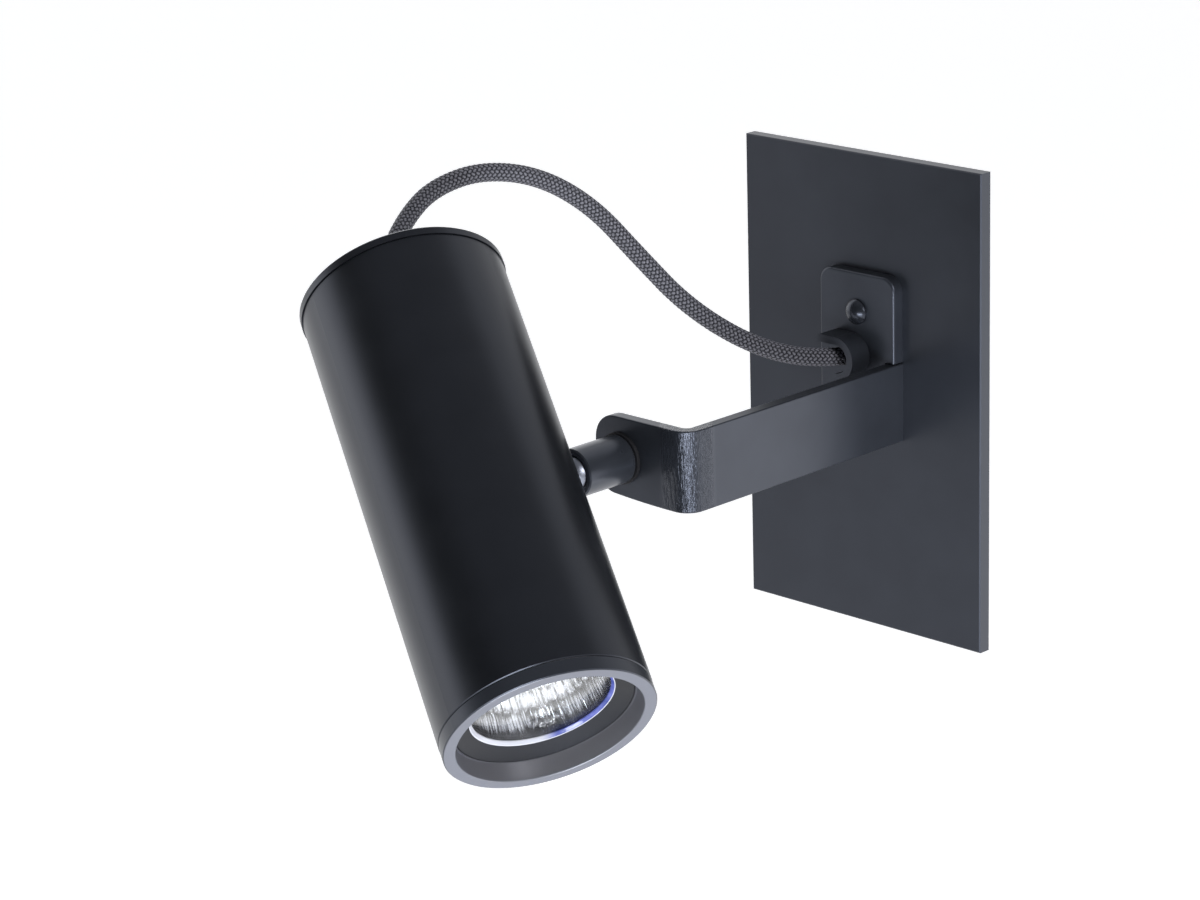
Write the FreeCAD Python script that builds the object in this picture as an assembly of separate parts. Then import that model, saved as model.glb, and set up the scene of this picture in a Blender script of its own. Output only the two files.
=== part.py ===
"""Pivoting spotlight wall light, in millimetres.

A flat backplate stands on the wall and hides a mounting bar. An arm of flat bar reaches out from
a foot plate, turns once, and carries a stub on its tab. The stub swivels on the tab and holds a
ball, and the ball carries a tubular head with a 50 mm reflector lamp. A braided cord goes from
the head's rear cap to a bush in the foot plate, through a small hook.

+X is to the right of someone who faces the wall, -Y points out of the wall and +Z points up.
The origin is on the wall, behind the middle of the backplate.
"""

import FreeCAD
import Part
import math
import os

# Backplate: a shallow pan, open to the wall
PLATE_WIDTH = 95.0
PLATE_HEIGHT = 152.4
PLATE_DEPTH = 4.4
PLATE_SKIN = 1.5
PLATE_RIM = 1.5
PLATE_EDGE = 0.35

# Mounting bar, on the wall box's two screws
BAR_WIDTH = 30.0
BAR_LENGTH = 120.0
BAR_THICK = 1.9
BAR_CORNER = 3.0
BAR_OFF_WALL = 0.2
BOX_SCREW_SPACING = 88.9
BOX_SLOT_WIDTH = 4.6
BOX_SLOT_LENGTH = 12.0

# Arm: flat bar, stood on edge, with one bend to the tab
STRAP_THICK = 4.0
STRAP_HEIGHT = 25.2
STRAP_MID_Z = -0.5
ARM_OUTER_X = 16.9
ARM_REACH = 97.45
ARM_BEND = 6.0
ARM_EDGE = 0.4
TAB_LEFT_X = -21.2
TAB_CORNER = 8.0
TAB_NARROWING = 1.5

# Foot plate, welded to the arm's end
FOOT_THICK = 4.0
FOOT_LEFT_X = -13.5
FOOT_RIGHT_X = 16.6
FOOT_TOP_Z = 39.5
FOOT_CORNER = 4.5
FOOT_EDGE = 0.8
FOOT_ARM_GAP = 0.4

# Domed screws that clamp foot plate, backplate and bar
FOOT_SCREW_X = 1.7
FOOT_SCREW_Z = (27.0, -5.0)
FOOT_SCREW_R = 2.0
FOOT_SCREW_HEAD_R = 4.0
FOOT_SCREW_HEAD = 3.0
FOOT_SCREW_RIM = 0.75
SCREW_PLAY = 0.2
THREAD_PLAY = 0.02

# Cord hook and cord bush on the foot plate
HOOK_X = -0.2
HOOK_Z = 13.1
HOOK_R = 7.0
HOOK_STRIP = 2.4
HOOK_WIDTH = 8.3
HOOK_LIMB = 6.7
HOOK_TIP = 1.7
BUSH_R = 3.95
BUSH_FLANGE_R = 4.45
BUSH_PROUD = 1.2
BUSH_PLAY = 0.05
CORD_PLAY = 0.2

# Supply leads behind the backplate, and the earth tag
LEAD_R = 0.85
LEAD_PITCH = 1.85
LEAD_BEND = 2.6
LEAD_SIDE_X = -20.0
LEAD_SIDE_BEND = 4.0
LEAD_END_Z = 52.0
TAIL_LENGTH = 2.0
TAG_WIDTH = 6.0
TAG_RING_R = 4.0
TAG_BARREL_R = 1.25
TAG_BARREL = 8.0
NOTCH_HEIGHT = 9.0
NOTCH_RIGHT = 5.0

# Stub: a sleeve that swivels on the tab and is the ball's socket
STUB_X = -10.6
STUB_R = 7.45
STUB_LENGTH = 20.4
STUB_EDGE = 0.4
STUB_WASHER_R = 7.9
STUB_WASHER = 1.2
SOCKET_DEPTH = 10.9
SOCKET_LIP = 1.5
SOCKET_MOUTH_R = 5.9
PAD_LENGTH = 4.0
PAD_SEAT = 2.1
PAD_SPRING_SECTION = 0.55
PAD_SPRING_BORE = 3.4
PAD_SPRING_PLAY = 0.2
RUNNING_PLAY = 0.05

# Swivel bolt, through the tab into the stub
BOLT_R = 2.97
BOLT_IN_STUB = 7.6
BOLT_HEAD_R = 5.0
BOLT_HEAD = 3.4
BOLT_SOCKET = 4.0
BOLT_SOCKET_DEPTH = 2.0
SPRING_WASHER = 1.0
SPRING_WASHER_R = 5.4
SPRING_WASHER_SPLIT = 1.0
GRUB_R = 1.5
GRUB_SOCKET = 1.5
GRUB_WEB = 0.6

# Ball joint and pose
PIVOT_BEHIND_MOUTH = 1.9
BALL_R = 5.55
NECK_R = 3.6
SHOULDER_R = 5.0
SHOULDER = 1.5
STUD_R = 2.97
SADDLE_SIDE = 13.0
SADDLE = 2.1
KNUCKLE_WASHER_R = 5.5
KNUCKLE_WASHER = 1.0
KNUCKLE_NUT_FLATS = 10.0
KNUCKLE_NUT = 4.0
STUD_PROUD = 0.4
SWING = 47.81
TILT = 18.63

# Head: tube, rear cap, front ring, lamp retainer. Lengths run along the head's axis from the
# pivot's level, positive towards the light.
NECK_TO_TUBE = 8.5
LAMP_ROOM = 4.1
HEAD_WALL = 2.0
HEAD_EDGE = 0.25
FACE_Z = 88.9
REAR_Z = -64.2
CAP_OVERHANG = 0.4
CAP_THICK = 2.64
CAP_EDGE = 0.5
CAP_SPIGOT = 6.0
CAP_SPIGOT_WALL = 2.0
SPIGOT_PLAY = 0.05
RING_SETBACK = 0.1
RING_LENGTH = 4.65
RING_EDGE = 0.4
RING_GROOVE = 0.35
RING_GROOVE_DEPTH = 0.5
RING_SPIGOT = 12.0
RING_FLARE = 0.9
RING_BORE_DEPTH = 5.8
RETAINER_WALL = 1.15
RETAINER_OVERLAP = 3.7
RETAINER_DEPTH = 8.2
RETAINER_LIP = 0.5
RETAINER_SKIRT = 4.2

# Cord gland in the rear cap
GLAND_R = 5.0
GLAND_TIP_R = 3.6
GLAND_PROUD = 6.0
GLAND_TAPER = 2.0
GLAND_THREAD_R = 4.5
GLAND_THREAD_PROUD = 1.0
GLAND_NUT_FLATS = 12.0
GLAND_NUT = 3.0
CORD_INSIDE = 15.0

# Reflector lamp, 50 mm across and 54 mm long
LAMP_R = 25.0
LAMP_LENGTH = 54.0
LAMP_RIM = 3.0
LAMP_RIM_STEP = 0.4
LAMP_WALL = 1.3
LAMP_NECK_R = 9.5
LAMP_NECK_WALL = 2.5
LAMP_NECK_LENGTH = 4.0
LAMP_NECK_DEPTH = 34.15
THROAT_LENGTH = 6.0
BOWL_SWELL = 1.6
BOWL_DROP = 2.4
GLASS_MARGIN = 2.0
GLASS_THICK = 1.2
GLASS_INSET = 0.65
CAPSULE_R = 4.5
CAPSULE_DEPTH = 12.15
CAPSULE_IN_BASE = 2.0
BASE_CHAMFER = 1.0
BASE_SWELL = 2.0
BASE_WAIST = 8.0
LAMP_CUP_WALL = 3.0
LAMP_CUP_HEIGHT = 3.0
LAMP_CUP_SKIRT = 1.0
PIN_SPACING = 10.0
PIN_R = 1.25
PIN_HEAD_R = 2.4
PIN_HEAD = 2.0
PIN_LENGTH = 7.0

# Lamp holder and the bracket that hangs it from the rear cap
HOLDER_R = 13.0
HOLDER_LENGTH = 17.6
HOLDER_LAMP_GAP = 0.6
HOLDER_PIN_HOLE_R = 2.6
HOLDER_SCREW_Y = 9.0
HOLDER_LEAD_HOLE = 3.0
BRACKET_THICK = 1.2
BRACKET_WIDTH = 12.0
BRACKET_FOOT = 8.0
BRACKET_END_GAP = 1.05
BRACKET_HOLE_R = 5.0
M3_R = 1.5
M3_HEAD_R = 2.75
M3_HEAD = 1.8
M3_KEY = 0.8
M3_IN_CAP = 2.0
M3_IN_HOLDER = 6.0
HEAD_LEAD_X = 5.0
HEAD_LEAD_Y = 2.0
HEAD_LEAD_GAP = 0.2
HEAD_LEAD_START = 8.0
HEAD_LEAD_APART = 22.0
HEAD_LEAD_CLOSING = 24.0
HEAD_LEAD_CLOSED = 10.0
HEAD_LEAD_IN_HOLDER = 2.0
HEAD_TAG = 0.8
HEAD_TAG_REACH = 4.0
HEAD_EARTH_X = 2.5
HEAD_EARTH_Y = 1.0
HEAD_EARTH_START = 9.0
HEAD_EARTH_TOP = 12.0
HEAD_EARTH_TURN = 4.0

# Cord: the route from the gland to the bush, chosen by hand
CORD_R = 2.9
CORD_ROUTE = [
    (-69.3, -135.5, 52.7),
    (-77.6, -131.7, 60.2),
    (-80.6, -123.4, 67.6),
    (-78.6, -111.6, 74.2),
    (-71.8, -97.2, 77.4),
    (-62.9, -81.4, 74.0),
    (-53.0, -68.4, 63.5),
    (-43.8, -58.4, 48.3),
    (-32.9, -48.5, 31.6),
    (-18.8, -35.4, 18.0),
    (-5.6, -21.8, 13.0),
    (0.3, -9.6, 13.0),
]
CORD_JOIN_RUN = 6
ARC_SHARE = 0.45

# Sizes that follow from the ones above
PLATE_BACK_OF_SKIN = -(PLATE_DEPTH - PLATE_SKIN)
BAR_FRONT = -(BAR_OFF_WALL + BAR_THICK)
FOOT_FRONT = -(PLATE_DEPTH + FOOT_THICK)
TAB_FRONT = -(PLATE_DEPTH + ARM_REACH)
STRAP_BOTTOM = STRAP_MID_Z - STRAP_HEIGHT / 2
STRAP_TOP = STRAP_MID_Z + STRAP_HEIGHT / 2
SOCKET_R = BALL_R + RUNNING_PLAY
PIVOT_UP_STUB = STUB_LENGTH - PIVOT_BEHIND_MOUTH
PIVOT = FreeCAD.Vector(STUB_X, TAB_FRONT - PIVOT_UP_STUB, STRAP_MID_Z)
HEAD_R = LAMP_R + LAMP_ROOM + HEAD_WALL
HEAD_OFFSET = HEAD_R + NECK_TO_TUBE
CAP_R = HEAD_R + CAP_OVERHANG
RING_R = HEAD_R - RING_SETBACK
RING_BORE_R = LAMP_R + SCREW_PLAY + RETAINER_WALL + SPIGOT_PLAY
RING_MOUTH_R = RING_BORE_R + RING_FLARE
RETAINER_LIP_R = LAMP_R - RETAINER_OVERLAP
GLASS_R = LAMP_R - GLASS_MARGIN
TUBE_REAR_Z = REAR_Z + CAP_THICK
TUBE_FRONT_Z = FACE_Z - RING_LENGTH
TUBE_INNER_R = HEAD_R - HEAD_WALL
LAMP_FRONT_Z = FACE_Z - RETAINER_DEPTH - RETAINER_LIP - RUNNING_PLAY
LAMP_BASE_Z = LAMP_FRONT_Z - LAMP_LENGTH
LAMP_NECK_Z = LAMP_FRONT_Z - LAMP_NECK_DEPTH
CAPSULE_TOP_Z = LAMP_FRONT_Z - CAPSULE_DEPTH
HOLDER_FRONT_Z = LAMP_BASE_Z - HOLDER_LAMP_GAP
HOLDER_BACK_Z = HOLDER_FRONT_Z - HOLDER_LENGTH
CAP_SPIGOT_BORE_R = TUBE_INNER_R - SPIGOT_PLAY - CAP_SPIGOT_WALL
BRACKET_END_Y = CAP_SPIGOT_BORE_R - BRACKET_END_GAP
BRACKET_LEG_Y = BRACKET_END_Y - BRACKET_FOOT
BRACKET_SCREW_Y = BRACKET_END_Y - BRACKET_FOOT / 2

X = FreeCAD.Vector(1, 0, 0)
Y = FreeCAD.Vector(0, 1, 0)
Z = FreeCAD.Vector(0, 0, 1)


def at(x, y, z):
    return FreeCAD.Vector(x, y, z)


def rod(r, start, end):
    """Round bar between two points."""
    start, end = at(*start), at(*end)
    return Part.makeCylinder(r, (end - start).Length, start, end - start)


def block(x, y, z):
    """Box from its (low, high) limits along each axis."""
    return Part.makeBox(x[1] - x[0], y[1] - y[0], z[1] - z[0], at(x[0], y[0], z[0]))


def slab(x, z, y, corner):
    """Plate in the XZ plane with rounded corners, between two depths y."""
    plate = block(x, y, z)
    upright = [e for e in plate.Edges if abs(e.tangentAt(e.FirstParameter).y) > 0.99]
    return plate.makeFillet(corner, upright)


def turned(profile):
    """Solid of revolution about Z from a closed (r, z) outline. An entry of two points is an
    arc: the point it passes through, then its end."""
    points = [p[-1] if isinstance(p[0], tuple) else p for p in profile]
    edges = []
    for i, entry in enumerate(profile):
        start = at(points[i - 1][0], 0, points[i - 1][1])
        end = at(points[i][0], 0, points[i][1])
        if isinstance(entry[0], tuple):
            through = at(entry[0][0], 0, entry[0][1])
            edges.append(Part.Arc(start, through, end).toShape())
        else:
            edges.append(Part.LineSegment(start, end).toShape())
    face = Part.Face(Part.Wire(edges))
    return face.revolve(at(0, 0, 0), Z, 360)


def hexagon(flats, z):
    """Hexagonal prism on the Z axis between two heights."""
    corner = flats / math.sqrt(3)
    ring = [
        at(corner * math.cos(math.radians(60 * i)), corner * math.sin(math.radians(60 * i)), z[0])
        for i in range(7)
    ]
    return Part.Face(Part.makePolygon(ring)).extrude(at(0, 0, z[1] - z[0]))


def swung(vector):
    """The vector turned with the head's swing about the stub's axis."""
    return FreeCAD.Rotation(-Y, SWING).multVec(vector)


def moved(shape, place):
    """Carry a shape, with any place that it has, into another frame."""
    shape.Placement = place.multiply(shape.Placement)
    return shape


def facing_room(shape, seat):
    """Stand a shape made about Z on a seat, with Z pointing out of the wall."""
    return moved(shape, FreeCAD.Placement(seat, FreeCAD.Rotation(X, 90)))


def on_stub(shape):
    """Place a shape whose Z axis is the stub's, up from the tab's front face. X points to the
    side where the light is."""
    turn = FreeCAD.Rotation(swung(-Z), swung(X), -Y, "ZXY")
    return moved(shape, FreeCAD.Placement(at(STUB_X, TAB_FRONT, STRAP_MID_Z), turn))


def head_turn():
    """Axes of the head: X from the pivot to the head's axis, Z towards the light."""
    hinge = swung(-X)
    tilt = FreeCAD.Rotation(hinge, TILT)
    return FreeCAD.Rotation(tilt.multVec(-Y), hinge, tilt.multVec(swung(-Z)), "ZXY")


def on_knuckle(shape):
    """Place a shape made about the pivot, in the head's axes."""
    return moved(shape, FreeCAD.Placement(PIVOT, head_turn()))


def on_head(shape):
    """Place a shape made about the head's own axis."""
    turn = head_turn()
    centre = PIVOT + turn.multVec(X) * HEAD_OFFSET
    return moved(shape, FreeCAD.Placement(centre, turn))


def bent_path(points):
    """Straight runs through the points, joined by tangent arcs as large as the runs allow.
    Returns the wire, its length and the arcs' radii."""
    points = [at(*p) for p in points]
    edges, radii = [], []
    here = points[0]
    for before, corner, after in zip(points, points[1:], points[2:]):
        into, out = corner - before, after - corner
        half = into.getAngle(out) / 2
        reach = ARC_SHARE * min(into.Length, out.Length)
        radii.append(reach / math.tan(half))
        into, out = into.normalize(), out.normalize()
        start, end = corner - into * reach, corner + out * reach
        inward = (out - into).normalize()
        crest = corner + inward * (radii[-1] / math.cos(half) - radii[-1])
        edges.append(Part.LineSegment(here, start).toShape())
        edges.append(Part.Arc(start, crest, end).toShape())
        here = end
    edges.append(Part.LineSegment(here, points[-1]).toShape())
    wire = Part.Wire(edges)
    return wire, wire.Length, radii


def round_tube(edges, r):
    """Round solid along joined edges, with its volume set against section times length."""
    wire = Part.Wire(edges)
    start = wire.Edges[0].Vertexes[0].Point
    along = wire.Edges[0].tangentAt(wire.Edges[0].FirstParameter)
    section = Part.Wire(Part.makeCircle(r, start, along))
    solid = wire.makePipeShell([section], True, False)
    ratio = solid.Volume / (math.pi * r * r * wire.Length)
    print(f"tube of radius {r}: length {wire.Length:.1f}, volume ratio {ratio:.4f}")
    return solid


# Wall side


def backplate():
    half_w, half_h = PLATE_WIDTH / 2, PLATE_HEIGHT / 2
    pan = block((-half_w, half_w), (-PLATE_DEPTH, 0), (-half_h, half_h))
    front = [e for e in pan.Edges if e.CenterOfMass.y < -PLATE_DEPTH + 0.01]
    pan = pan.makeChamfer(PLATE_EDGE, front)
    inner_w, inner_h = half_w - PLATE_RIM, half_h - PLATE_RIM
    pan = pan.cut(block((-inner_w, inner_w), (PLATE_BACK_OF_SKIN, 1), (-inner_h, inner_h)))
    for z in FOOT_SCREW_Z:
        hole = rod(
            FOOT_SCREW_R + SCREW_PLAY,
            (FOOT_SCREW_X, -PLATE_DEPTH - 1, z),
            (FOOT_SCREW_X, PLATE_BACK_OF_SKIN + 1, z),
        )
        pan = pan.cut(hole)
    bush_hole = rod(
        BUSH_R + BUSH_PLAY, (HOOK_X, -PLATE_DEPTH - 1, HOOK_Z), (HOOK_X, 0, HOOK_Z)
    )
    return pan.cut(bush_hole)


def mounting_bar():
    half_w, half_l = BAR_WIDTH / 2, BAR_LENGTH / 2
    depth = (BAR_FRONT, -BAR_OFF_WALL)
    bar = slab((-half_w, half_w), (-half_l, half_l), depth, BAR_CORNER)
    for side in (-1, 1):
        mid = side * BOX_SCREW_SPACING / 2
        r = BOX_SLOT_WIDTH / 2
        straight = BOX_SLOT_LENGTH / 2 - r
        slot = block((-r, r), (BAR_FRONT - 1, 1), (mid - straight, mid + straight))
        for end in (mid - straight, mid + straight):
            slot = slot.fuse(rod(r, (0, BAR_FRONT - 1, end), (0, 1, end)))
        bar = bar.cut(slot)
    for z in FOOT_SCREW_Z:
        thread = rod(
            FOOT_SCREW_R + THREAD_PLAY, (FOOT_SCREW_X, BAR_FRONT - 1, z), (FOOT_SCREW_X, 1, z)
        )
        bar = bar.cut(thread)
    half_notch = NOTCH_HEIGHT / 2
    notch = block(
        (-half_w - 1, HOOK_X + NOTCH_RIGHT), depth, (HOOK_Z - half_notch, HOOK_Z + half_notch)
    )
    return bar.cut(notch)


def foot_screws():
    """Two domed screws: the dome is a cap of a sphere on a short round edge."""
    dome = FOOT_SCREW_HEAD - FOOT_SCREW_RIM
    dome_r = (FOOT_SCREW_HEAD_R**2 + dome**2) / (2 * dome)
    shoulder = (FOOT_SCREW_HEAD_R, FOOT_SCREW_RIM)
    part_way = math.asin(FOOT_SCREW_HEAD_R / dome_r) / 2
    crest = (dome_r * math.sin(part_way), FOOT_SCREW_HEAD - dome_r * (1 - math.cos(part_way)))
    shank = -FOOT_FRONT - BAR_OFF_WALL - RUNNING_PLAY
    screw = turned(
        [
            (0, -shank),
            (FOOT_SCREW_R, -shank),
            (FOOT_SCREW_R, 0),
            (FOOT_SCREW_HEAD_R, 0),
            shoulder,
            (crest, (0, FOOT_SCREW_HEAD)),
        ]
    )
    return Part.makeCompound(
        [facing_room(screw.copy(), at(FOOT_SCREW_X, FOOT_FRONT, z)) for z in FOOT_SCREW_Z]
    )


def bar_spacer():
    """Washer between backplate and bar at the upper foot screw."""
    z = FOOT_SCREW_Z[0]
    ends = (FOOT_SCREW_X, PLATE_BACK_OF_SKIN, z), (FOOT_SCREW_X, BAR_FRONT, z)
    return rod(TAG_RING_R, *ends).cut(rod(FOOT_SCREW_R + SCREW_PLAY, *ends))


def earth_tag():
    """Ring tag at the lower foot screw, with a crimped barrel beside the bar."""
    z = FOOT_SCREW_Z[1]
    ends = (FOOT_SCREW_X, PLATE_BACK_OF_SKIN, z), (FOOT_SCREW_X, BAR_FRONT, z)
    barrel_x = LEAD_SIDE_X - LEAD_SIDE_BEND
    strip = block(
        (barrel_x, FOOT_SCREW_X),
        (PLATE_BACK_OF_SKIN, BAR_FRONT),
        (z - TAG_WIDTH / 2, z + TAG_WIDTH / 2),
    )
    tag = rod(TAG_RING_R, *ends).fuse(strip)
    barrel = rod(
        TAG_BARREL_R,
        (barrel_x, lead_depth(), z - TAG_BARREL / 2),
        (barrel_x, lead_depth(), z + TAG_BARREL / 2),
    )
    tag = tag.fuse(barrel).cut(rod(FOOT_SCREW_R + SCREW_PLAY, *ends))
    crimp = rod(
        LEAD_R + THREAD_PLAY,
        (barrel_x, lead_depth(), z),
        (barrel_x, lead_depth(), z + TAG_BARREL),
    )
    return tag.cut(crimp).removeSplitter()


def foot_plate():
    y = (FOOT_FRONT, -PLATE_DEPTH)
    plate = slab((FOOT_LEFT_X, FOOT_RIGHT_X), (STRAP_BOTTOM, FOOT_TOP_Z), y, FOOT_CORNER)
    outline = [e for e in plate.Edges if e.CenterOfMass.y < FOOT_FRONT + 0.01]
    plate = plate.makeFillet(FOOT_EDGE, outline)
    arm_inner = ARM_OUTER_X - STRAP_THICK
    arm_room = block(
        (arm_inner, FOOT_RIGHT_X + 1),
        (FOOT_FRONT - 1, 0),
        (STRAP_BOTTOM - 1, STRAP_TOP + FOOT_ARM_GAP),
    )
    plate = plate.cut(arm_room)
    for z in FOOT_SCREW_Z:
        hole = rod(
            FOOT_SCREW_R + SCREW_PLAY,
            (FOOT_SCREW_X, FOOT_FRONT - 1, z),
            (FOOT_SCREW_X, 0, z),
        )
        plate = plate.cut(hole)
    return plate.cut(
        rod(BUSH_R + BUSH_PLAY, (HOOK_X, FOOT_FRONT - 1, HOOK_Z), (HOOK_X, 0, HOOK_Z))
    )


def arm():
    """Flat bar from the backplate, bent to the left into the tab."""
    inner_x = ARM_OUTER_X - STRAP_THICK
    tab_back = TAB_FRONT + STRAP_THICK
    inner_bend = ARM_BEND - STRAP_THICK
    corner = (ARM_OUTER_X - ARM_BEND, TAB_FRONT + ARM_BEND)
    slant = math.sqrt(0.5)

    def plan(x, y):
        return at(x, y, STRAP_BOTTOM)

    def bend_point(r):
        return plan(corner[0] + r * slant, corner[1] - r * slant)

    outline = [
        Part.LineSegment(plan(ARM_OUTER_X, -PLATE_DEPTH), plan(ARM_OUTER_X, corner[1])),
        Part.Arc(
            plan(ARM_OUTER_X, corner[1]), bend_point(ARM_BEND), plan(corner[0], TAB_FRONT)
        ),
        Part.LineSegment(plan(corner[0], TAB_FRONT), plan(TAB_LEFT_X, TAB_FRONT)),
        Part.LineSegment(plan(TAB_LEFT_X, TAB_FRONT), plan(TAB_LEFT_X, tab_back)),
        Part.LineSegment(plan(TAB_LEFT_X, tab_back), plan(corner[0], tab_back)),
        Part.Arc(
            plan(corner[0], tab_back), bend_point(inner_bend), plan(inner_x, corner[1])
        ),
        Part.LineSegment(plan(inner_x, corner[1]), plan(inner_x, -PLATE_DEPTH)),
        Part.LineSegment(plan(inner_x, -PLATE_DEPTH), plan(ARM_OUTER_X, -PLATE_DEPTH)),
    ]
    wire = Part.Wire([e.toShape() for e in outline])
    strap = Part.Face(wire).extrude(at(0, 0, STRAP_HEIGHT))
    strap = strap.common(tab_outline())
    strap = strap.makeFillet(ARM_EDGE, [e for e in strap.Edges if rounds_off(e)])
    hole = rod(
        BOLT_R + RUNNING_PLAY,
        (STUB_X, TAB_FRONT - 1, STRAP_MID_Z),
        (STUB_X, tab_back + 1, STRAP_MID_Z),
    )
    return strap.cut(hole)


def rounds_off(edge):
    """True for the arm's long edges and its free end, but not for the end on the backplate or
    the lines where flat and bend meet."""
    box = edge.BoundBox
    across = box.ZLength > STRAP_HEIGHT - 2 * TAB_NARROWING
    return not across and box.YMin < -PLATE_DEPTH - 0.01


def tab_outline():
    """What the strap keeps, seen from the front: rounded free corners, and a lower edge that
    curves up a little towards the tab's free end."""
    far = ARM_OUTER_X + 1
    bend_x = ARM_OUTER_X - ARM_BEND
    reach = bend_x - TAB_LEFT_X
    sweep = (reach**2 + TAB_NARROWING**2) / (2 * TAB_NARROWING)
    half = math.asin(reach / sweep) / 2
    along = at(bend_x - sweep * math.sin(half), 0, STRAP_BOTTOM + sweep * (1 - math.cos(half)))
    corners = [
        at(bend_x, 0, STRAP_BOTTOM),
        at(far, 0, STRAP_BOTTOM),
        at(far, 0, STRAP_TOP),
        at(TAB_LEFT_X, 0, STRAP_TOP),
        at(TAB_LEFT_X, 0, STRAP_BOTTOM + TAB_NARROWING),
    ]
    edges = [Part.LineSegment(p, q).toShape() for p, q in zip(corners, corners[1:])]
    edges.append(Part.Arc(corners[-1], along, corners[0]).toShape())
    solid = Part.Face(Part.Wire(edges)).extrude(at(0, TAB_FRONT - 1, 0))
    free = [
        e
        for e in solid.Edges
        if e.BoundBox.XMax < TAB_LEFT_X + 0.01 and e.BoundBox.YLength > 1
    ]
    return solid.makeFillet(TAB_CORNER, free)


def cord_hook():
    """C of bent strip, open to the left, on the foot plate's front."""
    inner = HOOK_R - HOOK_STRIP

    def point(x, z):
        return at(HOOK_X + x, FOOT_FRONT, HOOK_Z + z)

    outline = [
        Part.LineSegment(point(-HOOK_LIMB - HOOK_TIP, inner), point(-HOOK_LIMB, HOOK_R)),
        Part.LineSegment(point(-HOOK_LIMB, HOOK_R), point(0, HOOK_R)),
        Part.Arc(point(0, HOOK_R), point(HOOK_R, 0), point(0, -HOOK_R)),
        Part.LineSegment(point(0, -HOOK_R), point(0, -inner)),
        Part.Arc(point(0, -inner), point(inner, 0), point(0, inner)),
        Part.LineSegment(point(0, inner), point(-HOOK_LIMB - HOOK_TIP, inner)),
    ]
    face = Part.Face(Part.Wire([e.toShape() for e in outline]))
    return face.extrude(at(0, -HOOK_WIDTH, 0))


def cord_grommet():
    """Bush for the cord, through foot plate and backplate."""
    bore = CORD_R + CORD_PLAY
    length = PLATE_BACK_OF_SKIN - FOOT_FRONT
    bush = turned(
        [
            (bore, -length),
            (BUSH_R, -length),
            (BUSH_R, 0),
            (BUSH_FLANGE_R, 0),
            (BUSH_FLANGE_R, BUSH_PROUD / 2),
            (BUSH_FLANGE_R - BUSH_PROUD / 2, BUSH_PROUD),
            (bore, BUSH_PROUD),
        ]
    )
    return facing_room(bush, at(HOOK_X, FOOT_FRONT, HOOK_Z))


def lead_depth():
    """Y of the leads' centres, in the middle of the room behind the skin."""
    return PLATE_BACK_OF_SKIN / 2 - RUNNING_PLAY


def cord_tail():
    """The cord's jacket inside the bush."""
    start = FOOT_FRONT + CORD_PLAY
    return rod(CORD_R, (HOOK_X, start, HOOK_Z), (HOOK_X, FOOT_FRONT + TAIL_LENGTH, HOOK_Z))


def supply_lead(row, up):
    """One insulated lead from the cord's end, through the bar's notch, then up or down the
    side of the pan."""
    z = HOOK_Z + row * LEAD_PITCH
    y = lead_depth()
    start = FOOT_FRONT + TAIL_LENGTH
    bend = LEAD_SIDE_BEND + (row + 1) * LEAD_PITCH if up else LEAD_SIDE_BEND
    side_x = LEAD_SIDE_X - LEAD_SIDE_BEND if not up else LEAD_SIDE_X - row * LEAD_PITCH
    end = LEAD_END_Z if up else FOOT_SCREW_Z[1]
    turn = 1 if up else -1
    slant = math.sqrt(0.5)
    spots = [
        at(HOOK_X, start, z),
        at(HOOK_X, y - LEAD_BEND, z),
        at(HOOK_X - LEAD_BEND * (1 - slant), y - LEAD_BEND * (1 - slant), z),
        at(HOOK_X - LEAD_BEND, y, z),
        at(side_x + bend, y, z),
        at(side_x + bend * (1 - slant), y, z + turn * bend * (1 - slant)),
        at(side_x, y, z + turn * bend),
        at(side_x, y, end),
    ]
    edges = [
        Part.LineSegment(spots[0], spots[1]),
        Part.Arc(spots[1], spots[2], spots[3]),
        Part.LineSegment(spots[3], spots[4]),
        Part.Arc(spots[4], spots[5], spots[6]),
        Part.LineSegment(spots[6], spots[7]),
    ]
    return round_tube([e.toShape() for e in edges], LEAD_R)


def supply_leads():
    return Part.makeCompound([supply_lead(1, True), supply_lead(0, True)])


def earth_lead():
    return supply_lead(-1, False)


# Stub


def swivel_washer():
    bore = BOLT_R + SCREW_PLAY
    return on_stub(
        turned(
            [
                (bore, RUNNING_PLAY),
                (STUB_WASHER_R, RUNNING_PLAY),
                (STUB_WASHER_R, STUB_WASHER),
                (bore, STUB_WASHER),
            ]
        )
    )


def stub():
    """Sleeve with a threaded foot, a bored socket and a lip drawn in over the ball."""
    floor = STUB_LENGTH - SOCKET_DEPTH
    thread = BOLT_R + THREAD_PLAY
    lip_z = PIVOT_UP_STUB + SOCKET_LIP
    lip_r = math.sqrt(SOCKET_R**2 - SOCKET_LIP**2)
    half = math.asin(SOCKET_LIP / SOCKET_R) / 2
    on_lip = (SOCKET_R * math.cos(half), PIVOT_UP_STUB + SOCKET_R * math.sin(half))
    sleeve = turned(
        [
            (thread, STUB_WASHER),
            (STUB_R - STUB_EDGE, STUB_WASHER),
            (STUB_R, STUB_WASHER + STUB_EDGE),
            (STUB_R, STUB_LENGTH - STUB_EDGE),
            (STUB_R - STUB_EDGE, STUB_LENGTH),
            (SOCKET_MOUTH_R, STUB_LENGTH),
            (lip_r, lip_z),
            (on_lip, (SOCKET_R, PIVOT_UP_STUB)),
            (SOCKET_R, floor),
            (thread, floor),
        ]
    )
    grub = rod(GRUB_R + THREAD_PLAY, (0, 0, grub_level()), (0, -STUB_R - 1, grub_level()))
    return on_stub(sleeve.cut(grub))


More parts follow.
